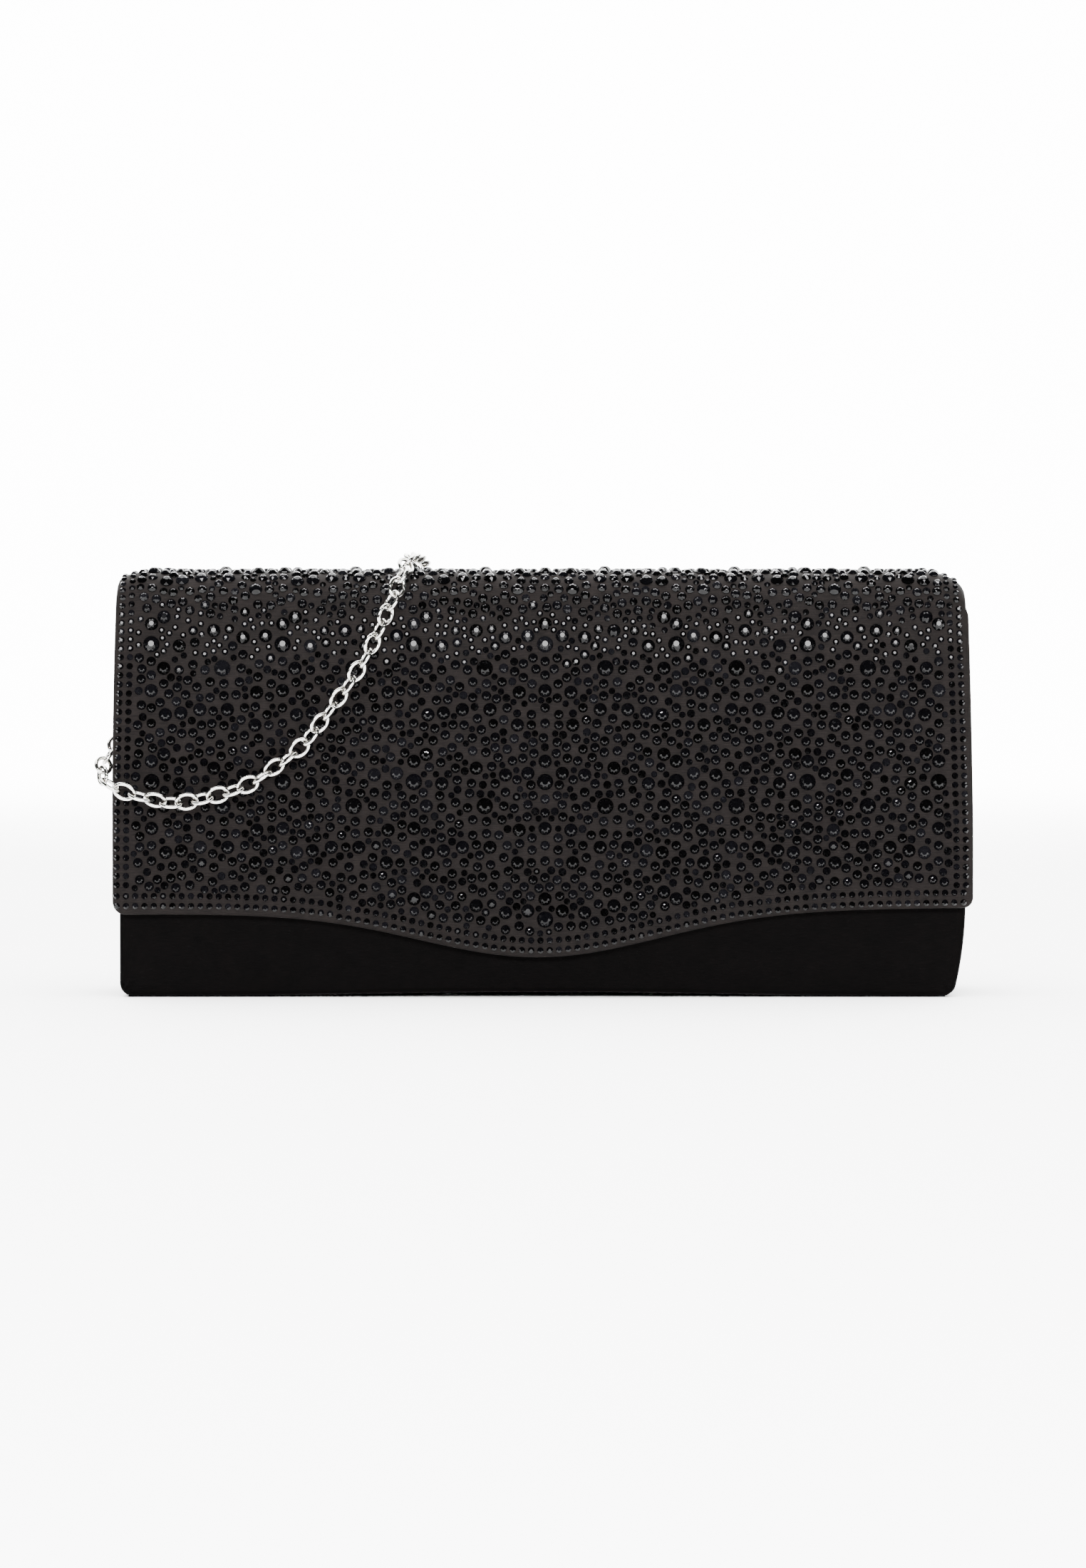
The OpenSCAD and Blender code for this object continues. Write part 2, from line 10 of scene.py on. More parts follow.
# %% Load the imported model
import json
import math
import random
import bpy
import numpy as np
from mathutils import Matrix, Vector, noise
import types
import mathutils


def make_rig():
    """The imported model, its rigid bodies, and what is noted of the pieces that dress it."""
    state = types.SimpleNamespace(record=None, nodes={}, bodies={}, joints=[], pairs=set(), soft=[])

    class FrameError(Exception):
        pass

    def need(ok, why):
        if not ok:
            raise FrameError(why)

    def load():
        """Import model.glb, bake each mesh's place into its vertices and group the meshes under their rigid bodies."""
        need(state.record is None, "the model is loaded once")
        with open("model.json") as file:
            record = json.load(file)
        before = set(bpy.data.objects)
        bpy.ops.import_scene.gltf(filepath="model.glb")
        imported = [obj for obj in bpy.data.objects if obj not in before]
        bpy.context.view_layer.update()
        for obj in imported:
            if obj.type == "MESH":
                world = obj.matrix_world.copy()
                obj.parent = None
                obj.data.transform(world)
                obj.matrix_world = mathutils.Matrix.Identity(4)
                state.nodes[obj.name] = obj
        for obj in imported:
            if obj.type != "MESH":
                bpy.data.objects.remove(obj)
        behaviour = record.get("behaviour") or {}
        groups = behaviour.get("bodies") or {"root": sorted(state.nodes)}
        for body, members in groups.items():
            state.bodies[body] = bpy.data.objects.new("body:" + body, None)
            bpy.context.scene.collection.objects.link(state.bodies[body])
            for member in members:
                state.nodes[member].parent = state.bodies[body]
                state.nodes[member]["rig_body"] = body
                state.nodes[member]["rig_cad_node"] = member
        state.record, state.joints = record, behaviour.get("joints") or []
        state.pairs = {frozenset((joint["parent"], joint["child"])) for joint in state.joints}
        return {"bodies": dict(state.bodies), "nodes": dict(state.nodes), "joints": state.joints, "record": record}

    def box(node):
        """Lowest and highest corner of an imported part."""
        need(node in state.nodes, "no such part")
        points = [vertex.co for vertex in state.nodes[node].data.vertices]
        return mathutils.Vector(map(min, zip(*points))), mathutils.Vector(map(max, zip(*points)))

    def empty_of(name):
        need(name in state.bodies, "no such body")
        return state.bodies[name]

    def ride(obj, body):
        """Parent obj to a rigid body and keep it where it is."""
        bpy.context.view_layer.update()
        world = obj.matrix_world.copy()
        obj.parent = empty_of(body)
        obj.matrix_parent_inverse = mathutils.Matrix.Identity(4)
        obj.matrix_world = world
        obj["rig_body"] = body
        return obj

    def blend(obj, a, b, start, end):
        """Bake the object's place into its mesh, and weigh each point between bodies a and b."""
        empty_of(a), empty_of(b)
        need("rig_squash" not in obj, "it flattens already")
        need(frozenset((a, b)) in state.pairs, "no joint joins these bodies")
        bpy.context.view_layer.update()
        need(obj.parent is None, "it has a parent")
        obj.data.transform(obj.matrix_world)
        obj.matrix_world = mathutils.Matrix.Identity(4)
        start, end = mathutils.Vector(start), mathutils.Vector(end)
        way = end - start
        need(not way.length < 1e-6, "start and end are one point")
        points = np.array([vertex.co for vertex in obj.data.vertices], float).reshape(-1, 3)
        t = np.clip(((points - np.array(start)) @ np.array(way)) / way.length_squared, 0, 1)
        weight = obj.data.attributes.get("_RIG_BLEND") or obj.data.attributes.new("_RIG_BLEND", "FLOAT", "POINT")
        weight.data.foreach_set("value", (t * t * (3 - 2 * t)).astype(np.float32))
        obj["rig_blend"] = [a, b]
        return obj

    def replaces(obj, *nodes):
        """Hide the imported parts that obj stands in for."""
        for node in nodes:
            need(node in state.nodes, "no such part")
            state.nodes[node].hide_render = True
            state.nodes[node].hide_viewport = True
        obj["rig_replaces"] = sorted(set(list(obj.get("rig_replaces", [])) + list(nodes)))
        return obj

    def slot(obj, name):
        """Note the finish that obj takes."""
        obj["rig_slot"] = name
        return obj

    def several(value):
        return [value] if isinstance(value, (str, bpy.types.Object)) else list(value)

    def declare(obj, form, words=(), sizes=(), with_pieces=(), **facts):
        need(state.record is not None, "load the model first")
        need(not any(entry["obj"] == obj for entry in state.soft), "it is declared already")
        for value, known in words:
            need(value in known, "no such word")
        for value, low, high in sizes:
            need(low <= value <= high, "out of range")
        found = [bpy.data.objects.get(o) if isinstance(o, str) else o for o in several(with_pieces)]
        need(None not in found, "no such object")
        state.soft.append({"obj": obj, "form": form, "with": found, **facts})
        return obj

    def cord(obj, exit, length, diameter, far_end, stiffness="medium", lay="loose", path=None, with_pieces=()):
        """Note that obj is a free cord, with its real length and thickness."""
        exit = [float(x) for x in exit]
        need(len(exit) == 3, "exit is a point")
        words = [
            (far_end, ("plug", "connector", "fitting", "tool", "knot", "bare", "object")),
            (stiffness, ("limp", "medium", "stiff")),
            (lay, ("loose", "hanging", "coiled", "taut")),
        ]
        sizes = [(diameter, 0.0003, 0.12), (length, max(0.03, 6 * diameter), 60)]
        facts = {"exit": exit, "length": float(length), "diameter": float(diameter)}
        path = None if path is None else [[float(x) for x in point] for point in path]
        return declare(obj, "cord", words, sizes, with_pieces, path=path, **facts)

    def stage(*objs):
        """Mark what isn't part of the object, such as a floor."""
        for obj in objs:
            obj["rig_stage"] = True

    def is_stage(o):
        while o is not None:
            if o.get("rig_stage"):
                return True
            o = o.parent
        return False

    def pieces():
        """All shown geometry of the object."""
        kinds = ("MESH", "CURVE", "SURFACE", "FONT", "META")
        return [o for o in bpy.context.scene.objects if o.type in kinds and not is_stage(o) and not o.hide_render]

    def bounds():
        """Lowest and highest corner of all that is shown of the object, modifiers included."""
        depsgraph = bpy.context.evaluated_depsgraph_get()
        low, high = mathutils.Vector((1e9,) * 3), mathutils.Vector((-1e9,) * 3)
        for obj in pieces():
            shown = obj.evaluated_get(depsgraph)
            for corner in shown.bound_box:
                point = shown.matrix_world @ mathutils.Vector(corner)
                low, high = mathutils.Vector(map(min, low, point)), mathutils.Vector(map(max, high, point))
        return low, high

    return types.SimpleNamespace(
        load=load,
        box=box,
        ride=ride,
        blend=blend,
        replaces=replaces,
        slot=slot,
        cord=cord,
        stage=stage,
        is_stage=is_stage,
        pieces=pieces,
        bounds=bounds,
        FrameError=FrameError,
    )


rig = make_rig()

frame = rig.load()
MM = 0.001
low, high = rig.bounds()
sizes = {"packed": [list(low), list(high)]}
print("packed size in mm:", [round((b - a) / MM, 1) for a, b in zip(low, high)])

# %% [markdown]
# ## Camera
# Product pictures like this one are taken with a long lens from a metre or two away, almost level with the
# bag, so its front stays square and hardly any of its top shows. The lens looks at a point in front of the
# bag's face, a little lower than the middle of the picture's height.

# %% Camera
LENS = 120.0            # mm, on a 36 mm frame whose long side is upright
SEEN_HEIGHT = 0.4552    # metres of the bag's front plane that the picture's height takes in
ELEVATION = math.radians(2.0)
flap_low, flap_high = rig.box("flap_cover")
aim = Vector((0, flap_low.y, 0.0624))
distance = SEEN_HEIGHT * LENS / 36.0
camera_data = bpy.data.cameras.new("camera")
camera_data.lens = LENS
camera = bpy.data.objects.new("camera", camera_data)
bpy.context.scene.collection.objects.link(camera)
camera.location = aim + distance * Vector((0, -math.cos(ELEVATION), math.sin(ELEVATION)))
camera.rotation_euler = (math.pi / 2 - ELEVATION, 0, 0)
bpy.context.scene.camera = camera
print("camera", round(distance, 3), "m from the flap")

# %% [markdown]
# ## Small helpers
# Every piece is a mesh built from lists of points and faces, in metres. `put` makes the object, gives it a
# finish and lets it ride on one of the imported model's bodies.

# %% Helpers
def put(name, points, faces, finish, body=None, flat=None, smooth=True, slot=None):
    """A mesh object in the scene. flat gives each point a place on the cloth, in metres, kept as its UV."""
    mesh = bpy.data.meshes.new(name)
    mesh.from_pydata([tuple(p) for p in points], [], faces)
    mesh.polygons.foreach_set("use_smooth", [smooth] * len(mesh.polygons))
    if flat is not None:
        layer = mesh.uv_layers.new(name="cloth")
        corner = np.zeros(len(mesh.loops), np.int32)
        mesh.loops.foreach_get("vertex_index", corner)
        layer.data.foreach_set("uv", np.array(flat, np.float32)[corner].ravel())
    mesh.materials.append(finish)
    mesh.update()
    made = bpy.data.objects.new(name, mesh)
    bpy.context.scene.collection.objects.link(made)
    if body:
        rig.ride(made, body)
    if slot:
        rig.slot(made, slot)
    return made


def smooth_step(t):
    t = min(1.0, max(0.0, t))
    return t * t * (3 - 2 * t)


def spline(points, step):
    """Points every step along a smooth curve through the given ones."""
    p = [Vector(q) for q in points]
    p = [2 * p[0] - p[1]] + p + [2 * p[-1] - p[-2]]
    fine = []
    for a, b, c, d in zip(p, p[1:], p[2:], p[3:]):
        for k in range(24):
            t = k / 24
            fine.append(0.5 * (2 * b + (c - a) * t + (2 * a - 5 * b + 4 * c - d) * t ** 2
                               + (3 * b - a - 3 * c + d) * t ** 3))
    fine.append(p[-2])
    along = [0.0]
    for a, b in zip(fine, fine[1:]):
        along.append(along[-1] + (b - a).length)
    count = max(1, round(along[-1] / step))
    places, k = [], 0
    for i in range(count + 1):
        s = along[-1] * i / count
        while k < len(fine) - 2 and along[k + 1] < s:
            k += 1
        t = (s - along[k]) / max(1e-9, along[k + 1] - along[k])
        places.append(fine[k].lerp(fine[k + 1], min(1.0, t)))
    return places, along[-1]


# %% [markdown]
# ## Finishes
# Each finish is made from noise and waves only. Colours are written as they look on a screen and turned
# into the linear values that the shader wants by one function. Patterns take their scale from the real size
# of a thread or a grain, in millimetres.

# %% Finish helpers
def colour(code):
    """A screen colour such as '#3a322f' as a linear RGBA."""
    parts = [int(code[i:i + 2], 16) / 255 for i in (1, 3, 5)]
    return tuple(c / 12.92 if c <= 0.04045 else ((c + 0.055) / 1.055) ** 2.4 for c in parts) + (1.0,)


def finish(name, **values):
    """A material with its shader's plain values set."""
    made = bpy.data.materials.new(name)
    made.use_nodes = True
    shader = made.node_tree.nodes["Principled BSDF"]
    for key, value in values.items():
        shader.inputs[key.replace("_", " ")].default_value = value
    return made, shader


def add(material, kind, settings=None, **links):
    """A node with its settings; each link names one of its inputs and gives an output or a value for it."""
    node = material.node_tree.nodes.new(kind)
    for key, value in (settings or {}).items():
        setattr(node, key, value)
    for key, value in links.items():
        socket = node.inputs[int(key[1:])] if key[1:].isdigit() else node.inputs[key.replace("_", " ")]
        if isinstance(value, bpy.types.NodeSocket):
            material.node_tree.links.new(value, socket)
        else:
            socket.default_value = value
    return node


def join(material, output, socket):
    material.node_tree.links.new(output, socket)


def ramp(material, value, *stops):
    """Colours at places from 0 to 1."""
    node = add(material, "ShaderNodeValToRGB", i0=value)
    bar = node.color_ramp
    while len(bar.elements) < len(stops):
        bar.elements.new(1.0)
    for element, (place, code) in zip(bar.elements, stops):
        element.position = place
        element.color = colour(code)
    return node.outputs["Color"]


# %% [markdown]
# Satin has long floats that all run one way, so it is smooth along them and finely ribbed across them. Here
# the ribs are a noise stretched along the cloth's width: about 0.25 mm across the ribs and 4 mm along them.
# The body's satin is close to black with a soft sheen; the flap's has a warmer, greyer look, like fine
# suede.

# %% Satins
def satin(name, dark, light, roughness, rib, bump, sheen, shine):
    made, shader = finish(name, Roughness=roughness, Specular_IOR_Level=shine, Sheen_Weight=sheen,
                          Sheen_Roughness=0.45)
    place = add(made, "ShaderNodeUVMap", {"uv_map": "cloth"}).outputs["UV"]
    stretched = add(made, "ShaderNodeMapping", i0=place, Scale=(1 / (16 * rib), 1 / rib, 1.0)).outputs[0]
    ribs = add(made, "ShaderNodeTexNoise", Vector=stretched, Scale=1.0, Detail=2.0, Roughness=0.6)
    slubs = add(made, "ShaderNodeTexNoise", Vector=place, Scale=160.0, Detail=3.0, Roughness=0.6)
    clouds = add(made, "ShaderNodeTexNoise", Vector=place, Scale=14.0, Detail=2.0)
    mixed = add(made, "ShaderNodeMix", {"data_type": "FLOAT"}, i0=0.35,
                i2=ribs.outputs["Fac"], i3=slubs.outputs["Fac"]).outputs[0]
    join(made, ramp(made, mixed, (0.32, dark), (0.7, light)), shader.inputs["Base Color"])
    rough = add(made, "ShaderNodeMapRange", Value=clouds.outputs["Fac"], i3=roughness - 0.06,
                i4=roughness + 0.08)
    join(made, rough.outputs[0], shader.inputs["Roughness"])
    bumped = add(made, "ShaderNodeBump", Strength=bump, Distance=rib * 0.35, Height=mixed)
    join(made, bumped.outputs["Normal"], shader.inputs["Normal"])
    return made


flap_satin = satin("charcoal_suede_satin", "#080707", "#151211", 0.7, 0.25 * MM, 0.5, 0.004, 0.04)
body_satin = satin("black_duchess_satin", "#010101", "#040303", 0.42, 0.2 * MM, 0.4, 0.0, 0.012)
lining_satin = satin("charcoal_lining_satin", "#151416", "#222023", 0.4, 0.2 * MM, 0.3, 0.02, 0.2)
tape = satin("black_grosgrain", "#060505", "#0c0b0b", 0.55, 0.5 * MM, 0.8, 0.01, 0.08)

# %% [markdown]
# Crystals of this kind are black glass with a foiled flat back. Glass this dark shows nothing but what its
# facets mirror, so the finish is almost black, very smooth, and a little uneven from stone to stone.

# %% Crystal, silver, thread and board
jet, shader = finish("jet_crystal", Roughness=0.03, IOR=1.55, Specular_IOR_Level=0.14)
stone_tone = add(jet, "ShaderNodeAttribute", {"attribute_name": "tone"})
join(jet, ramp(jet, stone_tone.outputs["Fac"], (0.0, "#010101"), (0.8, "#030304"), (1.0, "#08080a")),
     shader.inputs["Base Color"])

silver, shader = finish("polished_silver_plate", Base_Color=colour("#cccac5"), Metallic=1.0, Roughness=0.1)
wear = add(silver, "ShaderNodeTexNoise", Scale=900.0, Detail=3.0,
           Vector=add(silver, "ShaderNodeTexCoord").outputs["Object"])
join(silver, add(silver, "ShaderNodeMapRange", Value=wear.outputs["Fac"], i3=0.05, i4=0.15).outputs[0],
     shader.inputs["Roughness"])
join(silver, add(silver, "ShaderNodeBump", Strength=0.12, Distance=0.05 * MM,
                 Height=wear.outputs["Fac"]).outputs["Normal"], shader.inputs["Normal"])

nickel, shader = finish("turned_nickel", Base_Color=colour("#b9b6b0"), Metallic=1.0, Roughness=0.3)
rings = add(nickel, "ShaderNodeTexWave", {"wave_type": "RINGS", "rings_direction": "Y"}, Scale=420.0,
            Distortion=0.4, Vector=add(nickel, "ShaderNodeTexCoord").outputs["Object"])
join(nickel, add(nickel, "ShaderNodeMapRange", Value=rings.outputs["Fac"], i3=0.22, i4=0.38).outputs[0],
     shader.inputs["Roughness"])

thread, shader = finish("black_polyester_thread", Base_Color=colour("#131112"), Roughness=0.5,
                        Sheen_Weight=0.3)
twist = add(thread, "ShaderNodeTexWave", {"bands_direction": "DIAGONAL"}, Scale=2200.0,
            Vector=add(thread, "ShaderNodeTexCoord").outputs["Object"])
join(thread, add(thread, "ShaderNodeBump", Strength=0.5, Distance=0.05 * MM,
                 Height=twist.outputs["Fac"]).outputs["Normal"], shader.inputs["Normal"])

board, shader = finish("grey_board", Roughness=0.9)
flecks = add(board, "ShaderNodeTexNoise", Scale=700.0, Detail=6.0,
             Vector=add(board, "ShaderNodeTexCoord").outputs["Object"])
board_tone = ramp(board, flecks.outputs["Fac"], (0.3, "#6f6c66"), (0.7, "#9a968e"))
join(board, board_tone, shader.inputs["Base Color"])
print("finishes:", len(bpy.data.materials))

# %% [markdown]
# ## The chain
# The strap is a plain cable chain of oval links. Each link is a ring of round wire, a quarter turn about
# the chain from its neighbours, and they hold each other by their ends. The link sits along the route, so
# the chain is made by walking the route one pitch at a time.
#
# The route is the one the solids follow. The chain leaves the left D ring inside the flap's fold, comes out
# round the flap's left edge, hangs across its face and goes over the top; where it crosses the hinge, a
# second stretch takes over, runs down behind the bag, lies in a flat coil of four turns on the table, and
# climbs back up to the right D ring.

# %% Chain
LINK_LENGTH = 7.2 * MM
LINK_WIDTH = 5.6 * MM
WIRE = 1.15 * MM
PITCH = 4.6 * MM
FRONT_ROUTE = [
    (-117, 18.7, 115), (-119.5, 14, 109.5), (-121.8, 7, 101), (-122.9, -1, 91), (-123.2, -8, 82.5),
    (-123.6, -14.5, 75.5), (-126.4, -19.5, 70.6), (-127.9, -23.5, 67.2), (-127.4, -27.2, 64.3),
    (-124.5, -29.4, 61.8), (-118, -29.8, 59.3), (-109, -29.8, 57.3), (-104, -29.8, 57.3),
    (-94.5, -29.8, 59.3), (-85, -29.8, 62.6), (-77, -29.8, 68), (-70, -29.8, 73.5),
    (-61, -29.8, 85), (-56, -29.6, 92), (-51, -29, 100), (-45.8, -27.5, 111), (-42.8, -25, 118.2),
    (-40.8, -21.3, 123.5), (-39.6, -16, 126.6), (-38.6, -9, 127.5), (-37.4, 0, 127.5),
    (-36.4, 9, 127), (-36, 14.5, 126.2), (-36, 19, 125.2),
]
REAR_ROUTE = [
    (-36, 27.1, 118.4), (-36, 27.1, 106), (-36, 27.1, 94), (-36, 27.1, 82), (-36, 27.1, 70),
    (-36, 27.1, 58), (-36, 27.1, 46), (-36, 27.1, 34), (-36, 27.2, 22), (-35.4, 27.6, 13),
    (-32.5, 28.6, 6.5), (-26, 29.9, 3), (-16, 31, 2.5), (-7, 31.5, 2.5),
]
END_ROUTE = [
    (8, 31.3, 7.3), (18, 31, 5.6), (29, 30.6, 3), (42, 30.3, 2.5), (55, 30, 2.5), (68, 30, 2.5),
    (81, 30, 2.5), (94, 30, 2.5), (105, 30, 2.6), (114, 29.8, 4.4), (120, 29.5, 9.5),
    (122.5, 29, 18), (123, 28.5, 30), (122.6, 28.2, 44), (122, 28.1, 58), (121, 28.1, 72),
    (119.8, 28.1, 86), (118.3, 28.1, 99), (117.3, 28.2, 106), (117, 28.3, 112),
]
RING_TOP = Vector((117, 26.2, 116.2))
CROSSING = Vector((-36, 24.9, 122.2))
coil_low, coil_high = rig.box("chain_coil")
coil_centre = (coil_low + coil_high) / 2
OUTER_TURN = (coil_high.x - coil_low.x) / 2 / MM - LINK_WIDTH / MM / 2
INNER_TURN = OUTER_TURN - 5.0


def coil_turns():
    """Four turns: inwards on the table, then outwards again on top of the first two."""
    places = []
    for k in range(97):
        turn = k / 24
        inward = 1 - abs(turn - 2) / 2
        radius = OUTER_TURN - (OUTER_TURN - INNER_TURN) * smooth_step(min(1.0, inward * 1.6))
        height = 2.5 + 4.9 * smooth_step((turn - 1.6) / 0.8)
        angle = 2 * math.pi * turn - math.pi / 2
        places.append((coil_centre.x / MM + radius * math.cos(angle),
                       coil_centre.y / MM + radius * math.sin(angle), height))
    return places


def frames_along(places, first):
    """At each place the direction of travel and a side that turns as little as possible."""
    rows, side = [], first
    for i, here in enumerate(places):
        ahead = (places[min(i + 1, len(places) - 1)] - places[max(i - 1, 0)]).normalized()
        side = (side - side.dot(ahead) * ahead).normalized()
        rows.append((here, ahead, side))
    return rows


def link_template(around=28, section=8):
    """One oval link of round wire: points as (along, across, through), and faces."""
    points, faces = [], []
    long, wide = (LINK_LENGTH - WIRE) / 2, (LINK_WIDTH - WIRE) / 2
    for i in range(around):
        a = 2 * math.pi * i / around
        centre = Vector((long * math.cos(a), wide * math.sin(a), 0))
        out = Vector((wide * math.cos(a), long * math.sin(a), 0)).normalized()
        for k in range(section):
            b = 2 * math.pi * k / section
            points.append(centre + WIRE / 2 * (math.cos(b) * out + math.sin(b) * Vector((0, 0, 1))))
            n, m = (i + 1) % around, (k + 1) % section
            faces.append((i * section + k, n * section + k, n * section + m, i * section + m))
    return points, faces


def chain(name, route, first, roll, body, held, way):
    """Links along a route in mm, each a quarter turn from the last, starting from roll.

    The link numbered held has its width along way, and its neighbours ease into that.
    """
    places, length = spline([Vector(p) * MM for p in route], PITCH)
    shape, shape_faces = link_template()
    rng = random.Random(5)
    points, faces = [], []
    rows = frames_along(places, first)
    turns = [roll - 90 * ((i + 1) % 2) + rng.uniform(-12, 12) for i in range(len(rows))]
    held %= len(rows)
    here, ahead, side = rows[held]
    way = way - way.dot(ahead) * ahead
    wanted = math.degrees(math.atan2(ahead.dot(side.cross(way)), side.dot(way)))
    change = (wanted - turns[held] + 90) % 180 - 90
    for i, (here, ahead, side) in enumerate(rows):
        turn = turns[i] + change * smooth_step(1.3 - abs(i - held) / 6)
        across = Matrix.Rotation(math.radians(turn), 3, ahead) @ side
        through = ahead.cross(across)
        base = len(points)
        points += [here + p.x * ahead + p.y * across + p.z * through for p in shape]
        faces += [tuple(base + f for f in face) for face in shape_faces]
    made = put(name, points, faces, silver, body, slot="silver")
    return made, places, length


front_route = FRONT_ROUTE + [tuple(CROSSING + Vector((0, -2.7, 1.35)))]
rear_route = ([tuple(CROSSING + Vector((0, 0.6, -1.8)))] + REAR_ROUTE + coil_turns()[2:-2] + END_ROUTE
              + [tuple(RING_TOP)])
chain_front, front_places, front_length = chain("chain_front_links", front_route, Vector((1, 0, 0)), 64,
                                                "flap", -1, Vector((1, 0, 0)))
chain_rear, rear_places, rear_length = chain("chain_rear_links", rear_route, Vector((1, 0, 0)), 45,
                                             None, 0, Vector((0, 1, 0)))
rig.blend(chain_rear, "body", "right_ring", (0.1, 0.028, 0.07), (0.12, 0.028, 0.112))
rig.replaces(chain_front, "chain_front")
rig.replaces(chain_rear, "chain_rear", "chain_coil", "chain_end")
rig.cord(chain_front, exit=front_places[0], length=front_length, diameter=LINK_WIDTH, far_end="object",
        stiffness="limp", lay="hanging", path=front_places)
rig.cord(chain_rear, exit=rear_places[0], length=rear_length, diameter=LINK_WIDTH, far_end="object",
        stiffness="limp", lay="coiled", path=rear_places)
print("chain lengths in mm:", round(front_length / MM), round(rear_length / MM))

# %% [markdown]
# ## Satin over board
# Every panel of the bag is a board with satin drawn over it and glued down inside, so its edge is round and
# the cloth turns in. `skin` makes such a panel from a grid on the flat cloth: it finds the grid's border,
# rolls it over the edge in a half circle and tucks it under. `place` says where a point of the flat cloth,
# at a depth under its surface, is in space, so the same function makes flat panels and the curved flap.

# %% Panel builder
def skin(columns, rows, flat, place, rim, tuck, keep=lambda c, r: True):
    """Points, faces and cloth places of a grid with a rolled edge. flat(c, r) is a cloth place in mm."""
    spots, index, cells = [], {}, []
    for i, c in enumerate(columns[:-1]):
        for j, r in enumerate(rows[:-1]):
            if not keep((c + columns[i + 1]) / 2, (r + rows[j + 1]) / 2):
                continue
            cell = []
            for a, b in ((i, j), (i + 1, j), (i + 1, j + 1), (i, j + 1)):
                if (a, b) not in index:
                    index[a, b] = len(spots)
                    spots.append(Vector((*flat(columns[a], rows[b]), 0)))
                cell.append(index[a, b])
            cells.append(tuple(cell))
    following = {}
    edges = {(cell[k], cell[(k + 1) % 4]) for cell in cells for k in range(4)}
    for a, b in edges:
        if (b, a) not in edges:
            following[a] = b
    loop = [next(iter(sorted(following)))]
    while following[loop[-1]] != loop[0]:
        loop.append(following[loop[-1]])
    outward = []
    for k, v in enumerate(loop):
        before = (spots[v] - spots[loop[k - 1]]).normalized()
        after = (spots[loop[(k + 1) % len(loop)]] - spots[v]).normalized()
        way = (before + after).normalized()
        outward.append(Vector((way.y, -way.x, 0)))
    last = loop
    turns = [(rim * math.sin(a), rim * (1 - math.cos(a))) for a in (math.pi * k / 6 for k in range(1, 7))]
    for out, depth in turns + [(-tuck, 2 * rim)]:
        ring = []
        for v, way in zip(loop, outward):
            ring.append(len(spots))
            spot = spots[v] + out * way
            spots.append(Vector((spot.x, spot.y, depth)))
        for k in range(len(loop)):
            n = (k + 1) % len(loop)
            cells.append((last[n], last[k], ring[k], ring[n]))
        last = ring
    return [place(*s) for s in spots], cells, [(s.x * MM, s.y * MM) for s in spots]


def spread(low, high, step, fine=(0, 0.4, 0.9, 1.5, 2.2, 3.0, 4.5, 6.5)):
    """Places from low to high, close together near both ends."""
    inner = np.linspace(low + fine[-1], high - fine[-1], max(2, round((high - low) / step)))
    return [low + f for f in fine[:-1]] + list(inner) + [high - f for f in reversed(fine[:-1])]


def rounded(x, v, centre, radius, sx, sv):
    """Draws a square corner of the cloth into a round one. sx and sv say which corner it is."""
    a, b = sx * (x - centre[0]) / radius, sv * (v - centre[1]) / radius
    if a <= 0 or b <= 0:
        return x, v
    pull = max(a, b) / math.hypot(a, b)
    return centre[0] + sx * radius * a * pull, centre[1] + sv * radius * b * pull


def ripple(x, v, size, height, seed):
    """Slow unevenness of a cloth over a board."""
    return height * noise.noise(Vector((x / size, v / size, seed)))


# %% [markdown]
# ## The flap
# Seen from the side the flap's face stands almost upright and bows back gently, then folds over at the top
# in a tight curve and runs back to the hinge. The cloth is measured along that curve: `v` starts at the
# table, and is the height on the upright part of the face. At the two shoulders the fold sinks, more on the
# right.

# %% Flap surface
FOLD_R = 11.0
BOW_R = 140.0
TOP_R = 229.0
FACE_Y = flap_low.y / MM
CREST_Z = flap_high.z / MM
BOW_A = math.radians(13)
BOW_Z = CREST_Z - FOLD_R - (BOW_R - FOLD_R) * math.sin(BOW_A)
FOLD_V = BOW_Z + BOW_R * BOW_A
TOP_V = FOLD_V + FOLD_R * (math.pi / 2 - BOW_A)
END_V = TOP_V + TOP_R * math.radians(8)
bow_centre = (FACE_Y + BOW_R, BOW_Z)
fold_centre = (bow_centre[0] - (BOW_R - FOLD_R) * math.cos(BOW_A), BOW_Z + (BOW_R - FOLD_R) * math.sin(BOW_A))
top_centre = (fold_centre[0], fold_centre[1] + FOLD_R - TOP_R)


def heading(v):
    """The way the cloth faces: 0 to the front, a quarter turn straight up."""
    if v < BOW_Z:
        return 0.0
    if v < FOLD_V:
        return (v - BOW_Z) / BOW_R
    if v < TOP_V:
        return BOW_A + (v - FOLD_V) / FOLD_R
    return math.pi / 2 + (v - TOP_V) / TOP_R


def shoulder(x):
    """How much of the top's height is left at x: 1 in the middle and less over the shoulders."""
    reach, sink = (12.0, 9.0) if x > 0 else (9.0, 3.6)
    t = min(1.0, max(0.0, (abs(x) - (124.3 - reach)) / reach))
    return 1 - sink * (1 - math.sqrt(1 - t * t)) / (CREST_Z - 98)


def flap_place(x, v, d):
    a = heading(v)
    if v < BOW_Z:
        y, z = FACE_Y, v
    else:
        centre, r = ((bow_centre, BOW_R) if v < FOLD_V else (fold_centre, FOLD_R) if v < TOP_V
                     else (top_centre, TOP_R))
        y, z = centre[0] - r * math.cos(a), centre[1] + r * math.sin(a)
    lift = ripple(x, v, 22, 0.22, 3) - d
    y, z = y - lift * math.cos(a), z + lift * math.sin(a)
    if z > 98:
        z = 98 + (z - 98) * shoulder(x)
    return Vector((x, y, z)) * MM


EDGE_Z = 25.3


def lower_edge(x):
    return EDGE_Z + 0.008 * x - 13.4 * math.exp(-((x + 1) / 34.5) ** 2 / 2)


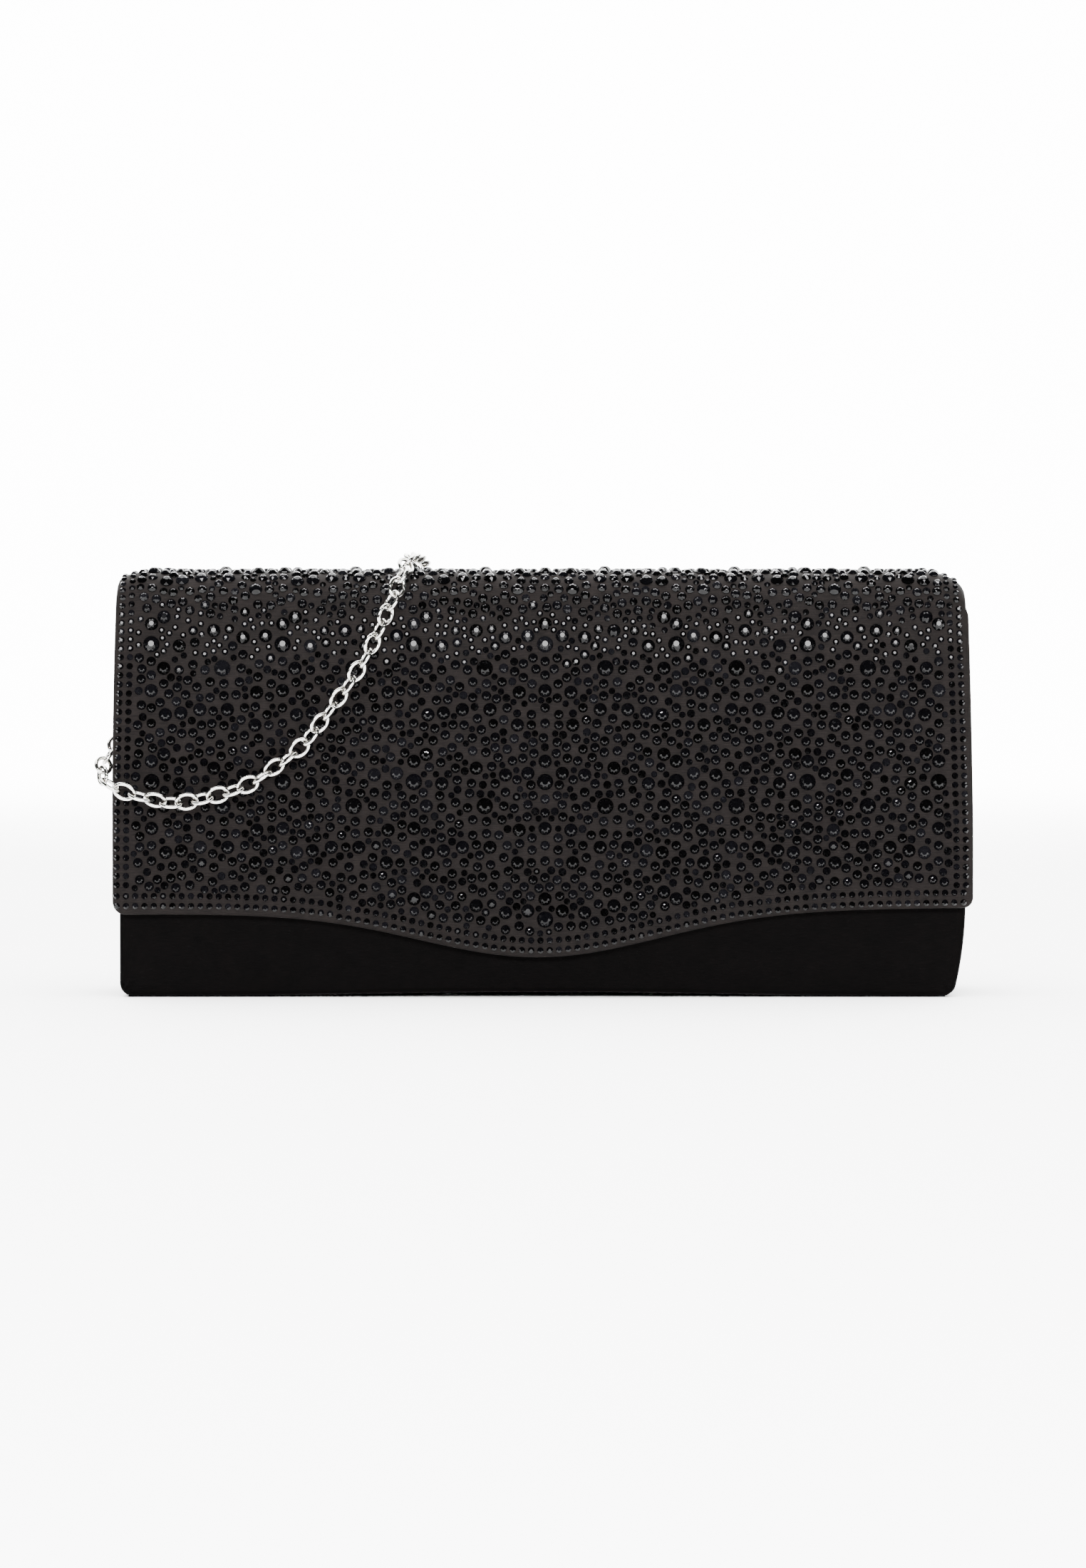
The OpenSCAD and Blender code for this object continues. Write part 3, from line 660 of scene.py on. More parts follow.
RIM = 1.2
HALF = 125 - RIM
NOTCH_X = 110.0
NOTCH_V = 153.4


def flap_sides(v):
    """Left and right edges of the cloth at v. They lean in a little; the right one steps in at the fold."""
    return (-125.2 + 0.9 * smooth_step((v - 55) / 70) + RIM,
            125.1 - 1.3 * smooth_step((v - 40) / 80) - 0.7 * smooth_step((v - 116) / 2) - RIM)


def flap_flat(c, r):
    left, right = flap_sides(r)
    x = c * (right if c > 0 else -left) / HALF
    v = r + (lower_edge(x) - EDGE_Z) * smooth_step((95 - r) / 65)
    low_v = lower_edge(x) + RIM
    x, v = rounded(x, v, (left + 2.6, low_v + 2.6), 2.6, -1, -1)
    return rounded(x, v, (right - 1.8, low_v + 1.8), 1.8, 1, -1)


def notch(c, r):
    return abs(c) < NOTCH_X or r < NOTCH_V


columns = spread(-HALF, HALF, 4)
columns = sorted([c for c in columns if abs(abs(c) - NOTCH_X) > 1.2] + [-NOTCH_X, NOTCH_X])
rows = ([EDGE_Z + RIM + f for f in (0, 0.4, 0.9, 1.5, 2.2, 3, 4.5, 6.5)] + list(np.linspace(36, 114, 27))
        + list(np.linspace(115.2, 132, 17)) + list(np.linspace(135, NOTCH_V, 7)) + [156, 159, END_V - RIM])
points, faces, cloth = skin(columns, rows, flap_flat, flap_place, RIM, 6, notch)
flap_skin = put("flap_satin", points, faces, flap_satin, "flap", cloth, slot="flap_satin")
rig.replaces(flap_skin, "flap_cover")
print("flap", len(points), "points")

# %% [markdown]
# Inside the satin is a card that gives the flap its shape, and under it a lining, glued down a little way
# in from the edge so that a margin of turned satin shows all round. Both follow the same curved surface,
# deeper in.

# %% Flap board and lining
def deeper(by, edge):
    """The flap's surface at a depth, with its cloth pulled in from the edge."""
    def place(x, v, d):
        return flap_place(x * (1 - edge / 125), v + edge * smooth_step((60 - v) / 30), by + d)
    return place


points, faces, cloth = skin(columns, rows, flap_flat, deeper(0.55, 1.0), 0.65, 4, notch)
card = put("flap_card", points, faces, board, "flap", cloth, slot="board")
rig.replaces(card, "flap_board")
points, faces, cloth = skin(columns, rows, flap_flat, deeper(2.3, 4.0), 0.16, 1, notch)
flap_lining = put("flap_lining_satin", points, faces, lining_satin, "flap", cloth, slot="lining")
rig.replaces(flap_lining, "flap_lining")

# %% [markdown]
# ## Crystals
# The stones are flat-backed: a round girdle, a ring of slanted facets and a flat table. They come in five
# stock sizes. Two rows of the smallest run round the flap's edge. Inside, the larger ones repeat in a
# motif, mirrored about the middle of the flap, and the smallest fill what is left, close but never
# touching. Each stone is glued on with its own small tilt, so each mirrors something slightly
# different.

# %% Where the stones go
MOTIF_W = 38.1
MOTIF_H = 40.0
MOTIF_X = 0.6
LARGE = [(17.5, 96), (0, 63)]
MEDIUM = [
    (7.5, 89), (16, 84), (24, 84), (29.5, 83), (34, 82.5), (34.5, 96), (0, 89.5),
    (8, 79.5), (34.5, 71), (0, 69), (20, 67), (11.5, 65), (5, 65.5), (30, 62.5),
]
SMALL = [
    (0, 98), (3.5, 99), (11.5, 100), (14.5, 102.5), (25.5, 103.5), (12, 96), (0, 94), (12.5, 92), (17, 91.5),
    (21, 92), (22.5, 95.5), (26, 97), (30, 95.5), (27.5, 92.5), (30.5, 90.5), (17, 88), (21, 87.5), (0, 84.5),
    (11, 84.5), (12, 81), (23.5, 79.5), (4, 79.5), (0, 80), (32, 78.5), (14.5, 76), (32.5, 75), (11, 72.5),
    (21, 72), (15.5, 67.5), (26, 67), (3.5, 74.5), (27, 73),
]
STONE_20, STONE_16, STONE_10, STONE_8, STONE_6 = 4.8, 3.9, 2.8, 2.4, 1.9
ROW_1, ROW_2, COLUMN_STEP = 2.1, 5.0, 2.7
TOP_STONES = 150.0


def side_column(side, v, c):
    left, right = flap_sides(v)
    inset = (0.1 if side < 0 else 1.0) + 0.8 * smooth_step((v - 25) / 95)
    return (left + inset + c * COLUMN_STEP) if side < 0 else (right - inset - c * COLUMN_STEP)


stones = []      # x, v, diameter


def border():
    """Two rows along the lower edge and two columns up each side."""
    for k, up in enumerate((ROW_1, ROW_2)):
        x = side_column(-1, EDGE_Z, 0)
        while x < side_column(1, EDGE_Z, 0) + 0.1:
            slope = (lower_edge(x + 0.5) - lower_edge(x - 0.5))
            lift = up * math.sqrt(1 + slope * slope)
            note(x, lower_edge(x) + lift + (0.5 if x < -60 else 0) - (0.4 if x > 60 else 0), STONE_6)
            x += 2.7 / math.sqrt(1 + slope * slope)
    for side in (-1, 1):
        for c in (0, 1):
            v = EDGE_Z + ROW_2 + 2.7
            while v < TOP_STONES:
                note(side_column(side, v, c), v, STONE_6)
                v += 2.65


def room(x, v, size):
    """Whether a stone inside the borders has its place."""
    left, right = side_column(-1, v, 1), side_column(1, v, 1)
    gap = (size + STONE_6) / 2 + 0.15
    return left + gap < x < right - gap and lower_edge(x) + ROW_2 + gap < v < TOP_STONES


def motif(places, size):
    for row in range(-2, 3):
        for column in range(4):
            for u, w in places:
                for side in (-1, 1):
                    across = u + column * MOTIF_W
                    if side < 0 and across < 0.1:
                        continue
                    x, v = MOTIF_X + side * across, w + row * MOTIF_H
                    if room(x, v, size) and clear_of(x, v, size, 0.15):
                        note(x, v, size)


cells = {}


def note(x, v, size):
    """Adds a stone, and remembers it by the 5 mm square that it is in."""
    stones.append((x, v, size))
    cells.setdefault((int(x // 5), int(v // 5)), []).append((x, v, size))


def clear_of(x, v, size, gap):
    for a in range(int(x // 5) - 1, int(x // 5) + 2):
        for b in range(int(v // 5) - 1, int(v // 5) + 2):
            for px, pv, other in cells.get((a, b), ()):
                if (px - x) ** 2 + (pv - v) ** 2 < ((other + size) / 2 + gap) ** 2:
                    return False
    return True


border()
motif(LARGE, STONE_20)
motif(MEDIUM, STONE_16)
motif(SMALL, STONE_10)
fixed = len(stones)
rng = random.Random(11)
throws = [(STONE_10, 0.15, 9000), (STONE_8, 0.12, 16000), (STONE_6, 0.3, 5000), (STONE_6, 0.1, 22000)]
for size, gap, tries in throws:
    for _ in range(tries):
        x, v = rng.uniform(-1, 121), rng.uniform(14, TOP_STONES)
        if size > STONE_6 and 98 < v < 113:
            continue
        for place_x in (MOTIF_X + x, MOTIF_X - x):
            if room(place_x, v, size) and clear_of(place_x, v, size, gap):
                note(place_x, v, size)
print("stones:", len(stones), "of which set by the motif and the border:", fixed)

# %% [markdown]
# A large stone has sixteen facets round its girdle and two rings of eight above them; on the smallest, ten
# slanted facets are all that can be told apart. The stones are set as five objects: the border, the large,
# the medium and the small stones, and the smaller fill; the first three stand for the imported solids of
# their stones.

# %% Stone shapes
def cut(steps):
    """A stone of radius and height 1 from rings given as (radius, height, sides, turn in steps)."""
    points, rings = [], []
    for radius, height, count, turn in steps:
        ring = []
        for k in range(count):
            a = 2 * math.pi * (k + turn) / count
            ring.append(len(points))
            points.append((radius * math.cos(a), radius * math.sin(a), height))
        rings.append(ring)
    faces = []
    for lower, upper in zip(rings, rings[1:]):
        n, m = len(lower), len(upper)
        if n == m and steps[rings.index(lower)][3] == steps[rings.index(upper)][3]:
            faces += [(lower[k], lower[(k + 1) % n], upper[(k + 1) % n], upper[k]) for k in range(n)]
        elif n == m:
            for k in range(n):
                a, b = upper[(k + 1) % n], upper[(k + 2) % n]
                faces += [(lower[k], lower[(k + 1) % n], a), (a, lower[(k + 1) % n], b)]
        else:
            for k in range(m):
                a, b, c = lower[2 * k], lower[2 * k + 1], lower[(2 * k + 2) % n]
                faces += [(a, b, upper[k]), (b, c, upper[k]), (upper[k], c, upper[(k + 1) % m])]
    faces.append(tuple(rings[-1]))
    return points, faces


rich = cut([(1.0, 0.0, 16, 0), (0.98, 0.14, 16, 0), (0.7, 0.66, 8, 0.5), (0.5, 0.91, 8, 0.0),
            (0.36, 1.0, 8, 0.0)])
plain = cut([(1.0, 0.0, 10, 0), (0.97, 0.18, 10, 0), (0.42, 1.0, 10, 0)])


def set_stones(name, picked, shape, *nodes):
    template = np.array(shape[0])
    points, faces, tones = [], [], []
    rng = random.Random(len(picked))
    for x, v, size in picked:
        here = flap_place(x, v, -0.02)
        out = (flap_place(x, v, -1) - flap_place(x, v, 0)).normalized()
        along = (flap_place(x + 0.5, v, 0) - flap_place(x - 0.5, v, 0)).normalized()
        tilt = Matrix.Rotation(rng.gauss(0, 0.02) - 0.042 * smooth_step((96 - v) / 30), 3, along)
        lean = Matrix.Rotation(rng.gauss(0, 0.02), 3, out.cross(along))
        out = tilt @ lean @ out
        along = (along - along.dot(out) * out).normalized()
        turn = Matrix.Rotation(rng.uniform(0, math.pi), 3, out)
        along = turn @ along
        axes = np.array([along, out.cross(along), out])
        scale = np.array([size / 2, size / 2, 0.36 * size]) * MM
        base = len(points)
        points += list(np.array(here) + (template * scale) @ axes)
        faces += [tuple(base + f for f in face) for face in shape[1]]
        tones += [rng.random()] * len(shape[0])
    made = put(name, points, faces, jet, "flap", smooth=False, slot="crystal")
    tone = made.data.attributes.new("tone", "FLOAT", "POINT")
    tone.data.foreach_set("value", tones)
    if nodes:
        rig.replaces(made, *nodes)
    return made


count_border = next(i for i, s in enumerate(stones) if s[2] == STONE_20)
set_stones("stones_border", stones[:count_border], plain, "border_crystals")
set_stones("stones_large", [s for s in stones if s[2] == STONE_20], rich, "large_crystals")
set_stones("stones_medium", [s for s in stones if s[2] == STONE_16], rich, "medium_crystals")
set_stones("stones_small", [s for s in stones if s[2] == STONE_10], rich)
set_stones("stones_fill", [s for s in stones[count_border:] if s[2] < STONE_10], plain)

# %% [markdown]
# ## The body
# The body is a box: a front panel that stops just under the flap's fold, a taller back panel, a base, and
# two gussets. The base is stiff but not quite flat: the bag stands on its two ends and a sliver of light
# shows under its middle. The lower right side curves inwards where the bag has been pushed in; the left one
# is straight.

# %% Front and back panels
FRONT_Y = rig.box("front_cover")[0].y / MM
FRONT_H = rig.box("front_cover")[1].z / MM
BACK_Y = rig.box("back_cover")[1].y / MM
BACK_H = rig.box("back_cover")[1].z / MM
LEFT_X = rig.box("back_cover")[0].x / MM
RIGHT_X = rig.box("back_cover")[1].x / MM
PANEL_T = 2.4


def rise(x):
    return 1.2 * (1 + math.cos(math.pi * x / 108)) / 2 if abs(x) < 108 else 0.0


def left_at(z):
    return LEFT_X + 3.2 * smooth_step((z - 28) / 34)


def right_at(z):
    return RIGHT_X - 109 + 109 * math.cos(math.asin(min(1, max(0, (28 - z) / 109))))


def panel_flat(low, high, inset, corner):
    """The cloth of an upright panel: x across and z up, with round corners."""
    def flat(c, r):
        t = (r - low) / (high - low)
        bottom = low + rise(c) + inset
        z = bottom + (high - inset - bottom) * t
        left, right = left_at(z) + inset, right_at(z) - inset
        x = left + (right - left) * (c - LEFT_X) / (RIGHT_X - LEFT_X)
        foot = low + rise(x) + inset + corner
        x, z = rounded(x, z, (left + corner, foot), corner, -1, -1)
        x, z = rounded(x, z, (right - corner * 0.8, foot - corner * 0.2), corner * 0.8, 1, -1)
        x, z = rounded(x, z, (left + corner, high - inset - corner), corner, -1, 1)
        return rounded(x, z, (right - corner, high - inset - corner), corner, 1, 1)
    return flat


def gather(x, z):
    """Small folds where the satin is gathered round the two lower corners."""
    total = 0.0
    for corner_x, side, size in ((-118.5, -1, 0.32), (115.0, 1, 0.16)):
        dx, dz = side * (x - corner_x), 6.0 - z
        far = math.hypot(dx, dz)
        if dx > -6 and dz > -8 and far > 1.5:
            total += size * math.sin(11 * math.atan2(dz, dx)) * smooth_step((far - 1.5) / 4) \
                * smooth_step((13 - far) / 6)
    return total


def upright(face, inward, swell, seed):
    """Space for an upright panel whose outer face is at y = face; inward is +1 or -1 along y."""
    def place(x, z, d):
        mid = math.cos(math.pi * x / 260) * math.sin(math.pi * min(1, max(0, z / 118)))
        out = swell * mid + ripple(x, z, 38, 0.35, seed) + ripple(x, z * 3, 26, 0.18, seed + 5) + gather(x, z)
        if d > 0.6:
            out *= 0.3
        return Vector((x, face + inward * (d - out), z)) * MM
    return place


def panel(name, material, body, face, inward, low, high, inset, rim, tuck, swell, seed, slot, *nodes):
    points, faces, cloth = skin(spread(LEFT_X, RIGHT_X, 4), spread(low, high, 4),
                                panel_flat(low, high, inset + rim, 2.6), upright(face, inward, swell, seed),
                                rim, tuck)
    if inward < 0:
        faces = [tuple(reversed(f)) for f in faces]
    made = put(name, points, faces, material, body, cloth, slot=slot)
    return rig.replaces(made, *nodes) or made


panel("front_satin", body_satin, "front_panel", FRONT_Y, 1, 0.3, FRONT_H, 0.0, 1.2, 5, 0.5, 2, "body_satin",
      "front_cover")
panel("back_satin", body_satin, "body", BACK_Y, -1, 0.0, BACK_H, 0.0, 1.2, 5, 0.2, 9, "body_satin",
      "back_cover")
panel("front_lining_satin", lining_satin, "front_panel", FRONT_Y + PANEL_T + 0.15, -1, 2.6, FRONT_H - 3, 2.0,
      0.15, 1, 0.0, 4, "lining", "front_lining")
panel("back_lining_satin", lining_satin, "body", BACK_Y - PANEL_T - 0.15, 1, 2.6, BACK_H - 3, 2.0, 0.15,
      1, 0.0, 6, "lining", "back_lining")
panel("front_card", board, "front_panel", FRONT_Y + 0.7, 1, 0.3, FRONT_H, 1.3, 0.5, 4, 0.0, 4, "board",
      "front_board")
panel("back_card", board, "body", BACK_Y - 0.7, -1, 0.0, BACK_H, 1.3, 0.5, 4, 0.0, 6, "board", "back_board")
INNER_FRONT = FRONT_Y + PANEL_T + 0.3
INNER_BACK = BACK_Y - PANEL_T
print("panels from", round(FRONT_Y, 1), "to", round(BACK_Y, 1))

# %% [markdown]
# The base is one more board with satin under it and lining over it. It follows the rise of the bag's foot.

# %% Base
def base_flat(c, r):
    t = (c - LEFT_X) / (RIGHT_X - LEFT_X)
    return LEFT_X + 2.4 + (right_at(1) - 2.4 - LEFT_X - 2.4) * t, r


def base_place(lift, up):
    def place(x, y, d):
        return Vector((x, y, rise(x) + lift + up * d + 0.02)) * MM
    return place


for name, material, lift, up, slot, node, inset, rim in (
        ("base_satin", body_satin, 0.0, 1, "body_satin", "base_cover", 0.0, 0.2),
        ("base_card", board, 0.7, 1, "board", "base_board", 1.2, 0.5),
        ("base_lining_satin", lining_satin, PANEL_T, -1, "lining", "base_lining", 0.0, 0.2)):
    points, faces, cloth = skin(spread(LEFT_X + inset, RIGHT_X - inset, 6),
                                spread(INNER_FRONT + 0.6 + inset, INNER_BACK - 0.6 - inset, 5), base_flat,
                                base_place(lift, up), rim, 1)
    if up > 0:
        faces = [tuple(reversed(f)) for f in faces]
    made = put(name, points, faces, material, "body", cloth, slot=slot)
    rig.replaces(made, node)

# %% [markdown]
# ## Gussets
# Each side wall is soft and has one fold that lies inwards when the bag is shut. It hangs between the two
# panels, sewn to the front one and to the back one, so when the front panel tips forward the fold opens.
# The blend does that: cloth near the back stays, cloth near the front moves with the front panel.

# %% Gussets
GUSSET_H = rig.box("left_gusset")[1].z / MM
FOLD_IN = 12.0
FOOT_ROUND = 3.8


def fold_at(y, z):
    middle, half = (INNER_FRONT + INNER_BACK) / 2, (INNER_BACK - INNER_FRONT) / 2
    t = (y - middle) / half
    return FOLD_IN * max(0, (z - 18) / (GUSSET_H - 18)) * (1 + math.cos(math.pi * t)) / 2


def foot_corner(z):
    """How far the round lower corner of the panels has drawn in at height z."""
    return FOOT_ROUND - math.sqrt(FOOT_ROUND ** 2 - min(FOOT_ROUND, max(0, FOOT_ROUND + 0.3 - z)) ** 2)


def gusset_place(side, depth, sign):
    def place(y, z, d):
        edge = (left_at(z) if side < 0 else right_at(z)) - side * foot_corner(z)
        soft = ripple(y * 2, z, 17, 0.5, side + 7) * math.cos(math.pi * (y - 2) / 42)
        return Vector((edge - side * (fold_at(y, z) + depth + sign * d + soft), y, z)) * MM
    return place


def gusset(name, material, side, depth, sign, rim, slot, node):
    foot = 0.7 if depth < 1 else PANEL_T + 0.2      # the lining stands on the base's own lining
    heights = spread(foot + rim, GUSSET_H - rim, 5, (0, 0.8, 1.6, 2.6))
    points, faces, cloth = skin(spread(INNER_FRONT, INNER_BACK, 1.8, (0, 0.5, 1.2)), heights,
                                lambda c, r: (c, r), gusset_place(side, depth, sign), rim, 3)
    if side * sign > 0:
        faces = [tuple(reversed(f)) for f in faces]
    made = put(name, points, faces, material, None, cloth, slot=slot)
    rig.replaces(made, node)
    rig.blend(made, "body", "front_panel", (0, INNER_BACK * MM, 0.05), (0, INNER_FRONT * MM, 0.05))


for word, side in (("left", -1), ("right", 1)):
    gusset(word + "_gusset_satin", body_satin, side, 0.0, 1, 0.4, "body_satin", word + "_gusset")
    gusset(word + "_gusset_lining_satin", lining_satin, side, 1.7, -1, 0.15, "lining",
           word + "_gusset_lining")

# %% [markdown]
# ## Hinge
# There is no metal hinge. The satin of the back runs up over the top edge and on to the flap, and bends
# there; a strip of lining does the same inside. Each is a band that stays with the body at one end and
# follows the flap at the other.

# %% Hinge bands
HINGE = Vector((0, 24.9, 122.2))


def band(name, material, path, half_width, thick, slot, node, start, end, step=3.0):
    """A band of cloth along X whose section follows a path of (y, z), with a rounded edge and a back."""
    places, length = spline([(0, y, z) for y, z in path], 0.8)
    xs = np.linspace(-half_width, half_width, round(2 * half_width / step) + 1)
    rows = []
    for i, here in enumerate(places):
        ahead = (places[min(i + 1, len(places) - 1)] - places[max(i - 1, 0)]).normalized()
        rows.append((here, Vector((0, -ahead.z, ahead.y))))
    points, cloth, faces = [], [], []
    ring = len(places) * 2
    for x in xs:
        fade = thick * (0.55 if abs(x) > half_width - 0.1 else 1)
        for side in (1, -1):
            for k, (here, out) in enumerate(rows if side > 0 else rows[::-1]):
                wave = ripple(x, here.z * 4, 9, 0.12, 20) if 0 < k < len(rows) - 1 else 0
                spot = here + (side * fade / 2 + wave) * out
                points.append(Vector((x, spot.y, spot.z)) * MM)
                cloth.append((x * MM, (k if side > 0 else len(rows) - 1 - k) * 0.8 * MM))
    for i in range(len(xs) - 1):
        for k in range(ring):
            n = (k + 1) % ring
            faces.append((i * ring + k, i * ring + n, (i + 1) * ring + n, (i + 1) * ring + k))
    faces.append(tuple(range(ring))[::-1])
    faces.append(tuple((len(xs) - 1) * ring + k for k in range(ring)))
    made = put(name, points, faces, material, None, cloth, slot=slot)
    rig.replaces(made, node)
    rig.blend(made, "body", "flap", start, end)
    return made


band("hinge_band", flap_satin,
     [(24.55, 113.6), (24.62, 115.5), (24.66, 117.4), (24.3, 119.3), (23.3, 120.9), (21.8, 121.85),
      (20.3, 122.15), (18.6, 122.42)],
     109.6, 0.45, "flap_satin", "hinge_satin", (0, 24.6 * MM, 118 * MM), (0, 21.2 * MM, 121.9 * MM))
band("hinge_lining_band", lining_satin,
     [(21.65, 113), (21.6, 115), (21.4, 117), (20.9, 118.4), (19.9, 119.2), (18.4, 119.65), (16.8, 119.9)],
     108.5, 0.3, "lining", "hinge_lining", (0, 21.6 * MM, 116.5 * MM), (0, 19.6 * MM, 119.4 * MM))

# %% [markdown]
# ## Fittings
# Two tabs of ribbed tape hold the D rings at the top back corners. The tape goes round the ring's straight
# bar and both ends are stitched to the back in a small box. The rings and the magnetic snap keep their
# solids.

# %% Ring tabs and stitches
def strip(name, material, path, x, width, thick, body, slot, node=None):
    """A strip of tape along a path of (y, z), width across X."""
    places, length = spline([(0, y, z) for y, z in path], 0.5)
    points, cloth, faces = [], [], []
    outline = [(-0.5, -0.3), (-0.46, -0.5), (0.46, -0.5), (0.5, -0.3), (0.5, 0.3), (0.46, 0.5), (-0.46, 0.5),
               (-0.5, 0.3)]
    for i, here in enumerate(places):
        ahead = (places[min(i + 1, len(places) - 1)] - places[max(i - 1, 0)]).normalized()
        out = Vector((0, -ahead.z, ahead.y))
        for a, b in outline:
            spot = Vector((x + a * width, here.y, here.z)) + b * thick * out
            points.append(spot * MM)
            cloth.append((i * 0.5 * MM, a * width * MM))
    n = len(outline)
    for i in range(len(places) - 1):
        for k in range(n):
            m = (k + 1) % n
            faces.append((i * n + k, i * n + m, (i + 1) * n + m, (i + 1) * n + k))
    faces += [tuple(range(n))[::-1], tuple((len(places) - 1) * n + k for k in range(n))]
    made = put(name, points, faces, material, body, cloth, slot=slot)
    if node:
        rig.replaces(made, node)
    return made


def stitches(name, path, body, up, stitch=2.2, gap=0.9, radius=0.16):
    """A row of stitches along a path in mm; up is the way out of the cloth."""
    places, length = spline(path, (stitch + gap) / 6)
    points, faces = [], []
    up = Vector(up).normalized()
    for i in range(0, len(places) - 6, 6):
        base = len(points)
        for k in range(5):
            here = places[i] + (places[i + 6] - places[i]) * (k / 4 * stitch / (stitch + gap))
            ahead = (places[i + 6] - places[i]).normalized()
            across = ahead.cross(up).normalized()
            lift = radius * (1.1 * math.sin(math.pi * k / 4) - 0.5)
            fat = radius * (0.45 if k in (0, 4) else 1)
            for m in range(6):
                a = 2 * math.pi * m / 6
                points.append((here + lift * up + fat * (math.cos(a) * across + math.sin(a) * up)) * MM)
        for k in range(4):
            for m in range(6):
                n = (m + 1) % 6
                faces.append((base + k * 6 + m, base + k * 6 + n, base + k * 6 + 6 + n, base + k * 6 + 6 + m))
        faces += [tuple(base + m for m in range(6))[::-1], tuple(base + 24 + m for m in range(6))]
    return put(name, points, faces, thread, body)


TAB_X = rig.box("right_ring_tab")[0].x / MM + 2.5
for word, side in (("left", -1), ("right", 1)):
    loop = [(HINGE.y + 1.1 * math.cos(math.radians(a)), HINGE.z + 1.1 * math.sin(math.radians(a)))
            for a in range(-40, 221, 20)]
    path = [(25.1, 109.6), (25.12, 112), (25.15, 115), (25.2, 118.4)] + loop + [(24.6, 118.4), (24.56, 115),
                                                                              (24.55, 109.4)]
    strip(word + "_tab_tape", tape, path, side * TAB_X, 5.0, 0.46, "body", "body_satin", word + "_ring_tab")
    x = side * TAB_X
    box_path = [(x - 1.8, 25.36, 110.4), (x + 1.8, 25.36, 110.4), (x + 1.8, 25.4, 116.4),
                (x - 1.8, 25.4, 116.4), (x - 1.8, 25.36, 110.4)]
    for k in range(4):
        middle = (Vector(box_path[k]) + Vector(box_path[k + 1])) / 2
        stitches(f"{word}_tab_stitches_{k}", [box_path[k], middle, box_path[k + 1]], "body", (0, 1, 0), 1.2,
                 0.5, 0.11)

# The coil behind the bag is held by a ribbon tied round its turns.
tie_x, tie_y = coil_centre.x / MM, coil_centre.y / MM
near, far, top = tie_y + INNER_TURN - 2.9, tie_y + OUTER_TURN + 2.9, coil_high.z / MM + 0.2
tie_path = [(near, 3), (near + 0.6, 0.4), (near + 3, 0.16), (far - 3, 0.16), (far - 0.6, 0.4), (far, 3),
            (far - 0.4, top - 2.4), (far - 3, top), (near + 3, top), (near + 0.4, top - 2.4), (near, 3)]
strip("coil_tie", tape, tie_path, tie_x, 3.0, 0.3, "body", "body_satin")

# %% [markdown]
# A slip pocket for a card is sewn to the back lining: one flat piece with a folded hem along its top.

# %% Slip pocket
pocket_low, pocket_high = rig.box("slip_pocket")
px, pz0, pz1 = pocket_high.x / MM, pocket_low.z / MM, pocket_high.z / MM


def pocket_place(x, z, d):
    sag = 0.5 * math.cos(math.pi * x / (2 * px)) * smooth_step((z - pz0) / (pz1 - pz0))
    return Vector((x, INNER_BACK - 0.75 - sag + d * 0.8, z)) * MM


points, faces, cloth = skin(spread(-px + 0.5, px - 0.5, 5), spread(pz0 + 0.5, pz1 - 0.5, 5),
                            lambda c, r: (c, r), pocket_place, 0.25, 4)
pocket = put("slip_pocket_satin", points, faces, lining_satin, "body", cloth, slot="lining")
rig.replaces(pocket, "slip_pocket")
py = INNER_BACK - 0.75
seam = [(-px + 1.5, pz1 - 1), (-px + 1.5, pz0 + 1.5), (px - 1.5, pz0 + 1.5), (px - 1.5, pz1 - 1)]
for k, (a, b) in enumerate(zip(seam, seam[1:])):
    middle = ((a[0] + b[0]) / 2, py, (a[1] + b[1]) / 2)
    stitches(f"pocket_stitches_{k}", [(a[0], py, a[1]), middle, (b[0], py, b[1])], "body", (0, -1, 0))

for name in ("left_ring", "right_ring"):
    frame["nodes"][name].data.materials.clear()
    frame["nodes"][name].data.materials.append(silver)
for name in ("snap_socket", "snap_socket_plate", "snap_stud", "snap_stud_plate"):
    frame["nodes"][name].data.materials.clear()
    frame["nodes"][name].data.materials.append(nickel)

# %% [markdown]
# ## Studio
# The bag stands on a pale sweep that curves up behind it. A large soft light hangs above and a little
# behind, a second one over the table in front gives no reflections, and a third lights the wall. A wide,
# low strip in front, just above the lens, is what the stones' flat tables mirror where the flap leans back,
# and two small bright lamps set off sparks in single facets. Everything else in front is dark, and the
# sweep ends a metre in front of the bag, so that the black stones stay black.

